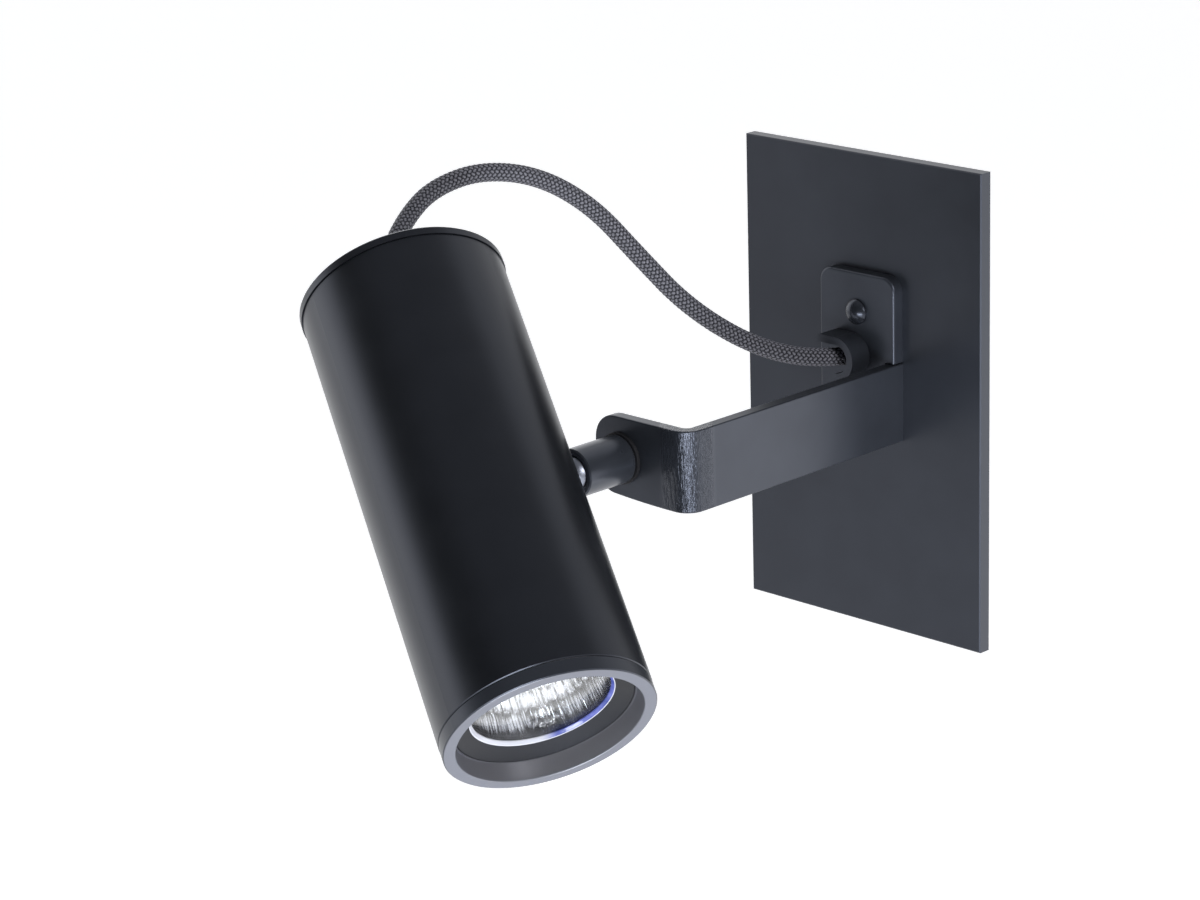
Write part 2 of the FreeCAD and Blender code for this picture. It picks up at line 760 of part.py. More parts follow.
def grub_level():
    """Height of the grub screw up the stub: the middle of the friction pad."""
    return STUB_LENGTH - SOCKET_DEPTH + PAD_SEAT + PAD_LENGTH / 2


def friction_pad():
    """Plug with a round hollow in which the ball sits."""
    back = STUB_LENGTH - SOCKET_DEPTH + PAD_SEAT
    front = back + PAD_LENGTH
    r = SOCKET_R - RUNNING_PLAY
    hollow_r = math.sqrt(SOCKET_R**2 - (PIVOT_UP_STUB - front) ** 2)
    half = math.asin(hollow_r / SOCKET_R) / 2
    on_hollow = (SOCKET_R * math.sin(half), PIVOT_UP_STUB - SOCKET_R * math.cos(half))
    return on_stub(
        turned(
            [
                (0, back),
                (r, back),
                (r, front),
                (hollow_r, front),
                (on_hollow, (0, PIVOT_UP_STUB - SOCKET_R)),
            ]
        )
    )


def pad_spring():
    """Cone washer that presses the pad against the ball."""
    floor = STUB_LENGTH - SOCKET_DEPTH
    top = floor + PAD_SEAT
    outer = SOCKET_R - PAD_SPRING_PLAY
    return on_stub(
        turned(
            [
                (outer, floor),
                (outer, floor + PAD_SPRING_SECTION),
                (PAD_SPRING_BORE, top),
                (PAD_SPRING_BORE, top - PAD_SPRING_SECTION),
            ]
        )
    )


def grub_screw():
    z = grub_level()
    tip = SOCKET_R
    screw = rod(GRUB_R, (0, -tip, z), (0, -STUB_R + STUB_EDGE, z))
    key = facing_room(hexagon(GRUB_SOCKET, (0, STUB_R)), at(0, -tip - GRUB_WEB, z))
    return on_stub(screw.cut(key))


def swivel_bolt():
    under_head = -(STRAP_THICK + RUNNING_PLAY + SPRING_WASHER)
    shank = turned(
        [
            (0, under_head - BOLT_HEAD),
            (BOLT_HEAD_R - STUB_EDGE, under_head - BOLT_HEAD),
            (BOLT_HEAD_R, under_head - BOLT_HEAD + STUB_EDGE),
            (BOLT_HEAD_R, under_head),
            (BOLT_R, under_head),
            (BOLT_R, STUB_WASHER + BOLT_IN_STUB),
            (0, STUB_WASHER + BOLT_IN_STUB),
        ]
    )
    low = under_head - BOLT_HEAD
    return on_stub(shank.cut(hexagon(BOLT_SOCKET, (low - 1, low + BOLT_SOCKET_DEPTH))))


def swivel_spring_washer():
    """Split spring washer under the bolt's head."""
    bore = BOLT_R + SCREW_PLAY
    front = -(STRAP_THICK + RUNNING_PLAY)
    back = front - SPRING_WASHER
    ring = turned([(bore, back), (SPRING_WASHER_R, back), (SPRING_WASHER_R, front), (bore, front)])
    gap = SPRING_WASHER_SPLIT / 2
    split = block((0, SPRING_WASHER_R + 1), (-gap, gap), (back - 1, front + 1))
    return on_stub(ring.cut(split))


# Ball joint on the head


def tube_cylinder(r):
    """Cylinder about the head's axis, in the pivot's coordinates, longer than the knuckle."""
    return rod(r, (HEAD_OFFSET, 0, -SADDLE_SIDE), (HEAD_OFFSET, 0, SADDLE_SIDE))


def tube_wall():
    """Distances from the pivot to the tube's outer and inner face."""
    return HEAD_OFFSET - HEAD_R, HEAD_OFFSET - TUBE_INNER_R


def knuckle():
    """Ball, neck, a shoulder that fits the tube, and a threaded stud."""
    outer, inner = tube_wall()
    stud_end = inner + SADDLE + KNUCKLE_WASHER + KNUCKLE_NUT + STUD_PROUD
    ball = Part.makeSphere(BALL_R)
    neck = rod(NECK_R, (0, 0, 0), (outer, 0, 0))
    shoulder = rod(SHOULDER_R, (outer - SHOULDER, 0, 0), (outer + 1, 0, 0))
    body = ball.fuse([neck, shoulder]).cut(tube_cylinder(HEAD_R))
    stud = rod(STUD_R, (outer - SHOULDER, 0, 0), (stud_end, 0, 0))
    return on_knuckle(body.fuse(stud).removeSplitter())


def knuckle_saddle():
    """Spacer that turns the tube's round inside into a flat seat."""
    inner = tube_wall()[1]
    half = SADDLE_SIDE / 2
    saddle = block((inner, inner + SADDLE), (-half, half), (-half, half))
    saddle = saddle.common(tube_cylinder(TUBE_INNER_R - THREAD_PLAY))
    return on_knuckle(saddle.cut(rod(STUD_R + SCREW_PLAY, (0, 0, 0), (inner + SADDLE + 1, 0, 0))))


def knuckle_washer():
    seat = tube_wall()[1] + SADDLE
    ends = (seat, 0, 0), (seat + KNUCKLE_WASHER, 0, 0)
    return on_knuckle(rod(KNUCKLE_WASHER_R, *ends).cut(rod(STUD_R + SCREW_PLAY, *ends)))


def knuckle_nut():
    seat = tube_wall()[1] + SADDLE + KNUCKLE_WASHER
    nut = hexagon(KNUCKLE_NUT_FLATS, (0, KNUCKLE_NUT))
    nut = nut.cut(Part.makeCylinder(STUD_R + THREAD_PLAY, KNUCKLE_NUT))
    return on_knuckle(moved(nut, FreeCAD.Placement(at(seat, 0, 0), FreeCAD.Rotation(Y, 90))))


# Head


def head_tube():
    inner = TUBE_INNER_R
    tube = turned(
        [
            (inner, TUBE_REAR_Z),
            (HEAD_R - HEAD_EDGE, TUBE_REAR_Z),
            (HEAD_R, TUBE_REAR_Z + HEAD_EDGE),
            (HEAD_R, TUBE_FRONT_Z - HEAD_EDGE),
            (HEAD_R - HEAD_EDGE, TUBE_FRONT_Z),
            (inner, TUBE_FRONT_Z),
        ]
    )
    stud_hole = rod(STUD_R + RUNNING_PLAY, (-HEAD_R - 1, 0, 0), (-inner + 1, 0, 0))
    return on_head(tube.cut(stud_hole))


def rear_cap():
    """Turned cap with a spigot in the tube, a hole for the gland and two tapped blind holes."""
    spigot = TUBE_INNER_R - SPIGOT_PLAY
    hole = GLAND_THREAD_R + RUNNING_PLAY
    cap = turned(
        [
            (hole, REAR_Z),
            (CAP_R - CAP_EDGE, REAR_Z),
            (CAP_R, REAR_Z + CAP_EDGE),
            (CAP_R, TUBE_REAR_Z),
            (spigot, TUBE_REAR_Z),
            (spigot, TUBE_REAR_Z + CAP_SPIGOT),
            (CAP_SPIGOT_BORE_R, TUBE_REAR_Z + CAP_SPIGOT),
            (CAP_SPIGOT_BORE_R, TUBE_REAR_Z),
            (hole, TUBE_REAR_Z),
        ]
    )
    for side in (-1, 1):
        y = side * BRACKET_SCREW_Y
        cap = cap.cut(
            rod(M3_R + THREAD_PLAY, (0, y, TUBE_REAR_Z - M3_IN_CAP), (0, y, TUBE_REAR_Z + 1))
        )
    return on_head(cap)


def cord_gland():
    """Strain relief screwed into the cap's centre: a short barrel with a tapered tip."""
    bore = CORD_R + THREAD_PLAY
    tip = REAR_Z - GLAND_PROUD
    inner_end = TUBE_REAR_Z + GLAND_NUT + GLAND_THREAD_PROUD
    return on_head(
        turned(
            [
                (bore, tip),
                (GLAND_TIP_R, tip),
                (GLAND_R, tip + GLAND_TAPER),
                (GLAND_R, REAR_Z),
                (GLAND_THREAD_R, REAR_Z),
                (GLAND_THREAD_R, inner_end),
                (bore, inner_end),
            ]
        )
    )


def gland_nut():
    nut = hexagon(GLAND_NUT_FLATS, (TUBE_REAR_Z, TUBE_REAR_Z + GLAND_NUT))
    bore = rod(
        GLAND_THREAD_R + THREAD_PLAY, (0, 0, TUBE_REAR_Z - 1), (0, 0, TUBE_REAR_Z + GLAND_NUT + 1)
    )
    return on_head(nut.cut(bore))


def front_ring():
    """Ring screwed into the tube's mouth, with a thin groove at the joint."""
    outer_spigot = TUBE_INNER_R - SPIGOT_PLAY
    groove_r = RING_R - RING_GROOVE_DEPTH
    step_z = FACE_Z - RING_BORE_DEPTH
    return on_head(
        turned(
            [
                (RING_BORE_R, TUBE_FRONT_Z - RING_SPIGOT),
                (outer_spigot, TUBE_FRONT_Z - RING_SPIGOT),
                (outer_spigot, TUBE_FRONT_Z),
                (groove_r, TUBE_FRONT_Z),
                (groove_r, TUBE_FRONT_Z + RING_GROOVE),
                (RING_R, TUBE_FRONT_Z + RING_GROOVE),
                (RING_R, FACE_Z - RING_EDGE),
                (RING_R - RING_EDGE, FACE_Z),
                (RING_MOUTH_R + RING_EDGE / 2, FACE_Z),
                (RING_MOUTH_R, FACE_Z - RING_EDGE / 2),
                (RING_BORE_R + RING_EDGE, step_z),
                (RING_BORE_R, step_z),
            ]
        )
    )


def lamp_retainer():
    """Dished ring inside the front ring. Its lip holds the lamp's rim, its skirt centres it."""
    outer = RING_BORE_R - SPIGOT_PLAY
    front = FACE_Z - RING_BORE_DEPTH - RUNNING_PLAY
    lip_front = FACE_Z - RETAINER_DEPTH
    lip_back = lip_front - RETAINER_LIP
    skirt = LAMP_R + SCREW_PLAY
    return on_head(
        turned(
            [
                (skirt, lip_back),
                (skirt, lip_back - RETAINER_SKIRT),
                (outer, lip_back - RETAINER_SKIRT),
                (outer, front),
                (outer - RING_EDGE, front),
                (RETAINER_LIP_R, lip_front),
                (RETAINER_LIP_R, lip_back),
            ]
        )
    )


# Lamp


def lamp_reflector():
    """Glass bowl with a rim that takes the front glass and a neck in the ceramic base."""
    rim_back = LAMP_FRONT_Z - LAMP_RIM
    seat_r = GLASS_R + SCREW_PLAY
    seat_z = LAMP_FRONT_Z - GLASS_INSET - GLASS_THICK - RUNNING_PLAY
    bowl_z = LAMP_NECK_Z + LAMP_NECK_LENGTH
    waist_r = (LAMP_R + LAMP_NECK_R) / 2 + BOWL_SWELL
    waist_z = (rim_back + bowl_z) / 2 - BOWL_DROP
    throat_r = LAMP_NECK_R - LAMP_NECK_WALL
    throat_end = (throat_r, LAMP_NECK_Z + THROAT_LENGTH)
    return on_head(
        turned(
            [
                (throat_r, LAMP_NECK_Z),
                (LAMP_NECK_R, LAMP_NECK_Z),
                (LAMP_NECK_R, bowl_z),
                ((waist_r, waist_z), (LAMP_R - LAMP_RIM_STEP, rim_back)),
                (LAMP_R, rim_back),
                (LAMP_R, LAMP_FRONT_Z),
                (seat_r, LAMP_FRONT_Z),
                (seat_r, seat_z),
                (seat_r - LAMP_WALL, seat_z),
                ((waist_r - LAMP_WALL, waist_z + LAMP_WALL / 2), throat_end),
            ]
        )
    )


def lamp_glass():
    front = LAMP_FRONT_Z - GLASS_INSET
    return on_head(rod(GLASS_R, (0, 0, front - GLASS_THICK), (0, 0, front)))


def lamp_capsule():
    """Quartz burner with a rounded tip, set in the base."""
    foot = LAMP_NECK_Z - CAPSULE_IN_BASE
    shoulder = CAPSULE_TOP_Z - CAPSULE_R
    slant = CAPSULE_R * math.sqrt(0.5)
    return on_head(
        turned(
            [
                (0, foot),
                (CAPSULE_R, foot),
                (CAPSULE_R, shoulder),
                ((slant, shoulder + slant), (0, CAPSULE_TOP_Z)),
            ]
        )
    )


def lamp_base():
    """Ceramic foot of the lamp, with a cup for the reflector's neck."""
    neck_cup = LAMP_NECK_R + RUNNING_PLAY
    cup_r = neck_cup + LAMP_CUP_WALL
    burner = CAPSULE_R + RUNNING_PLAY
    burner_foot = LAMP_NECK_Z - CAPSULE_IN_BASE
    return on_head(
        turned(
            [
                (0, LAMP_BASE_Z),
                (LAMP_NECK_R, LAMP_BASE_Z),
                (LAMP_NECK_R + BASE_CHAMFER, LAMP_BASE_Z + BASE_CHAMFER),
                (LAMP_NECK_R + BASE_SWELL, LAMP_NECK_Z - BASE_WAIST),
                (cup_r, LAMP_NECK_Z - LAMP_CUP_SKIRT),
                (cup_r, LAMP_NECK_Z + LAMP_CUP_HEIGHT),
                (neck_cup, LAMP_NECK_Z + LAMP_CUP_HEIGHT),
                (neck_cup, LAMP_NECK_Z),
                (burner, LAMP_NECK_Z),
                (burner, burner_foot),
                (0, burner_foot),
            ]
        )
    )


def lamp_pins():
    """Two headed pins under the base."""
    pins = []
    for side in (-1, 1):
        x = side * PIN_SPACING / 2
        tip = LAMP_BASE_Z - PIN_LENGTH
        shank = rod(PIN_R, (x, 0, tip), (x, 0, LAMP_BASE_Z))
        head = rod(PIN_HEAD_R, (x, 0, tip), (x, 0, tip + PIN_HEAD))
        pins.append(on_head(shank.fuse(head)))
    return Part.makeCompound(pins)


def lamp_holder():
    """Ceramic socket with two pin holes, tapped from behind and open for the leads."""
    holder = rod(HOLDER_R, (0, 0, HOLDER_BACK_Z), (0, 0, HOLDER_FRONT_Z))
    pin_room = PIN_LENGTH - HOLDER_LAMP_GAP + 1
    for side in (-1, 1):
        x = side * PIN_SPACING / 2
        holder = holder.cut(
            rod(HOLDER_PIN_HOLE_R, (x, 0, HOLDER_FRONT_Z - pin_room), (x, 0, HOLDER_FRONT_Z + 1))
        )
        y = side * HOLDER_SCREW_Y
        depth = HOLDER_BACK_Z + M3_IN_HOLDER + 1
        holder = holder.cut(rod(M3_R + THREAD_PLAY, (0, y, HOLDER_BACK_Z - 1), (0, y, depth)))
        holder = holder.cut(
            rod(
                LEAD_R + RUNNING_PLAY,
                (x / 2, 0, HOLDER_BACK_Z - 1),
                (x / 2, 0, HOLDER_BACK_Z + HOLDER_LEAD_HOLE),
            )
        )
    return on_head(holder)


def holder_bracket():
    """Strip bent to a hat: its feet are on the cap and its crown carries the lamp holder."""
    leg, t = BRACKET_LEG_Y, BRACKET_THICK
    crown = HOLDER_BACK_Z
    right = [
        (leg - t, crown - t),
        (leg - t, TUBE_REAR_Z),
        (leg + BRACKET_FOOT, TUBE_REAR_Z),
        (leg + BRACKET_FOOT, TUBE_REAR_Z + t),
        (leg, TUBE_REAR_Z + t),
        (leg, crown),
    ]
    left = [(-y, z) for y, z in reversed(right)]
    outline = [at(-BRACKET_WIDTH / 2, y, z) for y, z in right + left]
    hat = Part.Face(Part.makePolygon(outline + outline[:1])).extrude(at(BRACKET_WIDTH, 0, 0))
    hat = hat.cut(rod(BRACKET_HOLE_R, (0, 0, crown - t - 1), (0, 0, crown + 1)))
    for side in (-1, 1):
        y = side * HOLDER_SCREW_Y
        hat = hat.cut(rod(M3_R + SCREW_PLAY, (0, y, crown - t - 1), (0, y, crown + 1)))
        y = side * BRACKET_SCREW_Y
        hat = hat.cut(
            rod(M3_R + SCREW_PLAY, (0, y, TUBE_REAR_Z - 1), (0, y, TUBE_REAR_Z + t + 1))
        )
    return on_head(hat)


def m3_screw(y, seat_z, shank, up):
    """Cheese-head screw on the line x = 0. up is 1 if its shank points to the light."""
    head = rod(M3_HEAD_R, (0, y, seat_z), (0, y, seat_z - up * M3_HEAD))
    half_key = M3_KEY / 2
    key = block(
        (-M3_HEAD_R, M3_HEAD_R),
        (y - half_key, y + half_key),
        sorted((seat_z - up * M3_HEAD, seat_z - up * M3_HEAD / 2)),
    )
    shank = rod(M3_R, (0, y, seat_z), (0, y, seat_z + up * shank))
    return on_head(head.cut(key).fuse(shank))


def holder_screws():
    seat = HOLDER_BACK_Z - BRACKET_THICK
    length = BRACKET_THICK + M3_IN_HOLDER
    return Part.makeCompound(
        [m3_screw(side * HOLDER_SCREW_Y, seat, length, 1) for side in (-1, 1)]
    )


def bracket_screws():
    """The screws that hold the bracket to the cap. The one at +Y also clamps the earth tag."""
    plain = TUBE_REAR_Z + BRACKET_THICK
    shank = BRACKET_THICK + M3_IN_CAP - RUNNING_PLAY
    return Part.makeCompound(
        [
            m3_screw(-BRACKET_SCREW_Y, plain, shank, -1),
            m3_screw(BRACKET_SCREW_Y, plain + HEAD_TAG, shank + HEAD_TAG, -1),
        ]
    )


def head_earth_tag():
    """Ring tag under one bracket screw."""
    low = TUBE_REAR_Z + BRACKET_THICK
    half = M3_HEAD_R
    ring = rod(half, (0, BRACKET_SCREW_Y, low), (0, BRACKET_SCREW_Y, low + HEAD_TAG))
    strip = block(
        (0, BRACKET_WIDTH / 2 + HEAD_TAG_REACH),
        (BRACKET_SCREW_Y - half / 2, BRACKET_SCREW_Y + half / 2),
        (low, low + HEAD_TAG),
    )
    hole = rod(M3_R + SCREW_PLAY, (0, BRACKET_SCREW_Y, low - 1), (0, BRACKET_SCREW_Y, low + 2))
    return on_head(ring.fuse(strip).cut(hole).removeSplitter())


def cord_entry():
    """The cord's jacket inside the gland and the cap."""
    tip = REAR_Z - GLAND_PROUD
    return on_head(rod(CORD_R, (0, 0, tip + RUNNING_PLAY), (0, 0, REAR_Z + CORD_INSIDE)))


def head_leads():
    """Live and neutral leads from the cord's end to the lamp holder."""
    start = REAR_Z + CORD_INSIDE
    end = HOLDER_BACK_Z + HEAD_LEAD_IN_HOLDER
    near, far = LEAD_R + HEAD_LEAD_GAP, PIN_SPACING / 4
    leads = []
    for side in (-1, 1):
        route = [
            (side * near, 0, start),
            (side * near, 0, start + HEAD_LEAD_START),
            (side * HEAD_LEAD_X, side * HEAD_LEAD_Y, start + HEAD_LEAD_APART),
            (side * HEAD_LEAD_X, side * HEAD_LEAD_Y, end - HEAD_LEAD_CLOSING),
            (side * far, 0, end - HEAD_LEAD_CLOSED),
            (side * far, 0, end),
        ]
        leads.append(on_head(round_tube(bent_path(route)[0].Edges, LEAD_R)))
    return Part.makeCompound(leads)


def head_earth_lead():
    """Earth lead from the cord's end to the tag beside the bracket."""
    start = REAR_Z + CORD_INSIDE
    tag_x = BRACKET_WIDTH / 2 + HEAD_EARTH_X
    cord_y = LEAD_R + HEAD_EARTH_Y
    tag_z = TUBE_REAR_Z + BRACKET_THICK + HEAD_TAG
    route = [
        (0, cord_y, start),
        (0, cord_y, start + HEAD_EARTH_START),
        (tag_x, BRACKET_SCREW_Y / 2, start + HEAD_EARTH_TOP),
        (tag_x, BRACKET_SCREW_Y, start + HEAD_EARTH_TURN),
        (tag_x, BRACKET_SCREW_Y, tag_z),
    ]
    return on_head(round_tube(bent_path(route)[0].Edges, LEAD_R))


# Cord


def cord_parts():
    """The free cord in two lengths that meet in the middle of one straight run."""
    before, after = at(*CORD_ROUTE[CORD_JOIN_RUN - 1]), at(*CORD_ROUTE[CORD_JOIN_RUN])
    join = (before + after) / 2
    wire, length, radii = bent_path(CORD_ROUTE)
    print(f"cord: length {length:.1f}, radii", [round(r, 1) for r in radii])
    arcs_before_join = CORD_JOIN_RUN - 1
    front = wire.Edges[: 2 * arcs_before_join]
    rear = wire.Edges[2 * arcs_before_join + 1 :]
    front.append(Part.LineSegment(front[-1].Vertexes[-1].Point, join).toShape())
    rear.insert(0, Part.LineSegment(join, rear[0].Vertexes[0].Point).toShape())
    return [round_tube(edges, CORD_R) for edges in (front, rear)]


def main():
    cord_front, cord_rear = cord_parts()
    pieces = {
        "backplate": backplate(),
        "mounting_bar": mounting_bar(),
        "bar_spacer": bar_spacer(),
        "foot_plate": foot_plate(),
        "foot_screws": foot_screws(),
        "arm": arm(),
        "cord_hook": cord_hook(),
        "cord_grommet": cord_grommet(),
        "cord_tail": cord_tail(),
        "supply_leads": supply_leads(),
        "earth_lead": earth_lead(),
        "earth_tag": earth_tag(),
        "stub": stub(),
        "swivel_washer": swivel_washer(),
        "swivel_bolt": swivel_bolt(),
        "swivel_spring_washer": swivel_spring_washer(),
        "friction_pad": friction_pad(),
        "pad_spring": pad_spring(),
        "grub_screw": grub_screw(),
        "knuckle": knuckle(),
        "knuckle_saddle": knuckle_saddle(),
        "knuckle_washer": knuckle_washer(),
        "knuckle_nut": knuckle_nut(),
        "head_tube": head_tube(),
        "rear_cap": rear_cap(),
        "cord_gland": cord_gland(),
        "gland_nut": gland_nut(),
        "front_ring": front_ring(),
        "lamp_retainer": lamp_retainer(),
        "lamp_reflector": lamp_reflector(),
        "lamp_glass": lamp_glass(),
        "lamp_capsule": lamp_capsule(),
        "lamp_base": lamp_base(),
        "lamp_pins": lamp_pins(),
        "lamp_holder": lamp_holder(),
        "holder_bracket": holder_bracket(),
        "holder_screws": holder_screws(),
        "bracket_screws": bracket_screws(),
        "head_earth_tag": head_earth_tag(),
        "head_earth_lead": head_earth_lead(),
        "head_leads": head_leads(),
        "cord_entry": cord_entry(),
        "cord_front": cord_front,
        "cord_rear": cord_rear,
    }
    os.makedirs("parts", exist_ok=True)
    for name, shape in pieces.items():
        solids = shape.Solids
        sound = shape.isValid() and solids and all(s.Volume > 0 for s in solids)
        if not sound:
            print(f"{name}: not a sound solid")
        shape.exportStep(os.path.join("parts", f"{name}.step"))
    print(f"{len(pieces)} pieces")


main()
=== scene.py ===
# %% [markdown]
# # A pivoting spotlight wall light
# The lamp is a can on a ball joint, carried by a flat-bar arm on a wall plate, with a braided
# cord from the can to the plate. The pieces and their places come in as a fixed frame. This
# lesson gives each of them its surface, and makes the pieces whose beauty is in small repeated
# detail: the braid of the cord and the flutes of the reflector.

# %% Load the frame
import math

import bmesh
import bpy
import numpy as np
from mathutils import Matrix, Vector


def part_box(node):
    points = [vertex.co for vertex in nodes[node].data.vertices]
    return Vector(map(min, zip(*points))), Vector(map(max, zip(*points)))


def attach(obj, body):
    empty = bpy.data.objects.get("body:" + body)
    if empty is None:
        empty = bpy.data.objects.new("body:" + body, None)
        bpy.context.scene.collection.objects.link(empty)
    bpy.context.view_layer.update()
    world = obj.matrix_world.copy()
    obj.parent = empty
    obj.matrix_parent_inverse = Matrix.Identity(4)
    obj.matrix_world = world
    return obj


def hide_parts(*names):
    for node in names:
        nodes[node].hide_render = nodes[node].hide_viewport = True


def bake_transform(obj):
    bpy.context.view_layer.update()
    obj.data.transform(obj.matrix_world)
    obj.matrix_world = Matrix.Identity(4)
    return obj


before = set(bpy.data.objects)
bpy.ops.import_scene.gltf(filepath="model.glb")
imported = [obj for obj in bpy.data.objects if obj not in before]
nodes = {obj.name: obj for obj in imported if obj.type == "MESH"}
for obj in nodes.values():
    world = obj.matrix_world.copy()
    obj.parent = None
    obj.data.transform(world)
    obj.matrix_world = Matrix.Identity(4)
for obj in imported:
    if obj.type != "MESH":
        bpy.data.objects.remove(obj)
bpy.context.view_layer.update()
MM = 0.001


def millimetres(*place):
    """A place given in millimetres, in the scene's metres."""
    return Vector(place) * MM


# %% [markdown]
# ## Where the eye stands
# A product photograph is taken from far away with a long lens, so that round things stay round.
# This camera stands 1.16 m off. Its place and its three axes were found from the wall plate,
# whose corners are a rectangle of known size, and it needs no lens shift. A camera looks along
# its own -Z, so the three columns of its matrix are right, up and backwards.

# %% The camera
PICTURE_WIDTH = 1200
FOCAL_LENGTH_PIXELS = 3693.13
SENSOR_WIDTH_MM = 36.0
CAMERA_PLACE = Vector((0.72565, -0.84973, 0.32418))
CAMERA_RIGHT = Vector((0.71414, 0.69947, -0.02753))
CAMERA_UP = Vector((-0.18656, 0.22808, 0.95561))

camera = bpy.data.objects.new("camera", bpy.data.cameras.new("camera"))
bpy.context.scene.collection.objects.link(camera)
camera.data.sensor_width = SENSOR_WIDTH_MM
camera.data.lens = FOCAL_LENGTH_PIXELS / PICTURE_WIDTH * SENSOR_WIDTH_MM
columns = (CAMERA_RIGHT, CAMERA_UP, CAMERA_RIGHT.cross(CAMERA_UP))
camera.matrix_world = Matrix.Translation(CAMERA_PLACE) @ Matrix(columns).transposed().to_4x4()
bpy.context.scene.camera = camera
print(f"lens {camera.data.lens:.1f} mm")

# %% [markdown]
# ## The studio
# Black paint has almost no colour of its own: what we see on it is the room, mirrored softly.
# So the room does most of the work here. Beyond the object and under it everything is white,
# which draws the pale bands at the edges of the can, and the wall on the left is the brighter
# one. The camera's side of the room is left dark, and that keeps the middle of the can and the
# tab dark. A panel beyond the arm gives it its even grey, a card below the camera draws the
# bright line down the bend, and a softbox on the right reaches into the ring. The floor is a
# light table: it glows a little of its own.
#
# A view transform that rolls off highlights would lift these blacks and grey the white floor,
# so the plain one is used.

# %% The studio
FLOOR_LEVEL = -0.55
FLOOR_SIZE = 12.0
FLOOR_WHITE = 0.9
FLOOR_GLOW = 0.46
ROOM_TINT = (0.97, 0.98, 1.0, 1)
ROOM_LEFT = 1.7
ROOM_RIGHT = 0.79
CEILING = 0.33
LEFT_TO_RIGHT = (-0.3, 0.4)
SIDE_COSINES = (-0.15, 0.05)
CEILING_COSINES = (0.5, 0.95)
TOWARDS_EYE = CAMERA_RIGHT.cross(CAMERA_UP)
FAR_PANEL_WATTS = 1.3
LOW_CARD_WATTS = 11.0
LOW_CARD_TINT = (0.93, 0.97, 1)
RIGHT_SOFTBOX_WATTS = 14.0
HEAD_MIDDLE = millimetres(-20, -155, 10)
ARM_MIDDLE = millimetres(15, -60, 0)

bpy.context.scene.view_settings.view_transform = "Standard"


def node(tree, kind, **settings):
    """A new node in a tree, with its settings."""
    made = tree.nodes.new(kind)
    for setting, value in settings.items():
        setattr(made, setting, value)
    return made


def shader_material(name):
    """A new material with its node tree and its Principled shader."""
    material = bpy.data.materials.new(name)
    material.use_nodes = True
    tree = material.node_tree
    return material, tree, tree.nodes["Principled BSDF"]


def finished(name, vertices, faces, material):
    """A mesh object at the origin, linked to the scene."""
    mesh = bpy.data.meshes.new(name)
    mesh.from_pydata([tuple(v) for v in vertices], [], faces)
    mesh.materials.append(material)
    piece = bpy.data.objects.new(name, mesh)
    bpy.context.scene.collection.objects.link(piece)
    return piece


def softbox(name, place, aim, size, watts, tint=(1, 1, 1)):
    """An area light of (width, height) that looks from its place towards aim."""
    light = bpy.data.lights.new(name, "AREA")
    light.shape = "RECTANGLE"
    light.size, light.size_y = size
    light.energy = watts
    light.color = tint
    lamp = bpy.data.objects.new(name, light)
    lamp.location = place
    lamp.rotation_euler = (Vector(aim) - Vector(place)).to_track_quat("-Z", "Y").to_euler()
    lamp.visible_camera = False
    bpy.context.scene.collection.objects.link(lamp)
    return lamp


def fading(tree, name, value, limits, levels):
    """A smooth change from one level to the other while the value passes its limits."""
    made = node(tree, "ShaderNodeMapRange", interpolation_type="SMOOTHSTEP", name=name)
    for socket, number in zip(("From Min", "From Max", "To Min", "To Max"), limits + levels):
        made.inputs[socket].default_value = number
    tree.links.new(value, made.inputs["Value"])
    return made.outputs["Result"]


def cosine(tree, direction, axis):
    """How closely a direction points along an axis."""
    made = node(tree, "ShaderNodeVectorMath", operation="DOT_PRODUCT")
    made.inputs[1].default_value = axis
    tree.links.new(direction, made.inputs[0])
    return made.outputs["Value"]


def lit_room(name):
    """A room that is white beyond the object, dark behind the eye, with a pale ceiling."""
    world = bpy.data.worlds.new(name)
    world.use_nodes = True
    tree = world.node_tree
    direction = node(tree, "ShaderNodeTexCoord").outputs["Generated"]
    sideways = cosine(tree, direction, CAMERA_RIGHT)
    facing = cosine(tree, direction, TOWARDS_EYE)
    upward = node(tree, "ShaderNodeSeparateXYZ")
    tree.links.new(direction, upward.inputs["Vector"])
    walls = fading(tree, "walls", sideways, LEFT_TO_RIGHT, (ROOM_LEFT, ROOM_RIGHT))
    beyond = node(tree, "ShaderNodeMath", operation="MULTIPLY")
    tree.links.new(walls, beyond.inputs[0])
    tree.links.new(fading(tree, "beyond", facing, SIDE_COSINES, (1, 0)), beyond.inputs[1])
    above = fading(tree, "above", upward.outputs["Z"], CEILING_COSINES, (0, CEILING))
    total = node(tree, "ShaderNodeMath", operation="ADD")
    tree.links.new(beyond.outputs["Value"], total.inputs[0])
    tree.links.new(above, total.inputs[1])
    sky = tree.nodes["Background"]
    sky.inputs["Color"].default_value = ROOM_TINT
    tree.links.new(total.outputs["Value"], sky.inputs["Strength"])
    return world


bpy.context.scene.world = lit_room("studio")

floor_paint, _, floor_shader = shader_material("studio_floor")
floor_shader.inputs["Base Color"].default_value = (FLOOR_WHITE, FLOOR_WHITE, FLOOR_WHITE, 1)
floor_shader.inputs["Roughness"].default_value = 0.9
floor_shader.inputs["Emission Color"].default_value = (1, 1, 1, 1)
floor_shader.inputs["Emission Strength"].default_value = FLOOR_GLOW
half = FLOOR_SIZE / 2
floor_corners = [(-half, -half), (half, -half), (half, half), (-half, half)]
floor = finished(
    "studio_floor", [(x, y, FLOOR_LEVEL) for x, y in floor_corners], [(0, 1, 2, 3)], floor_paint
)

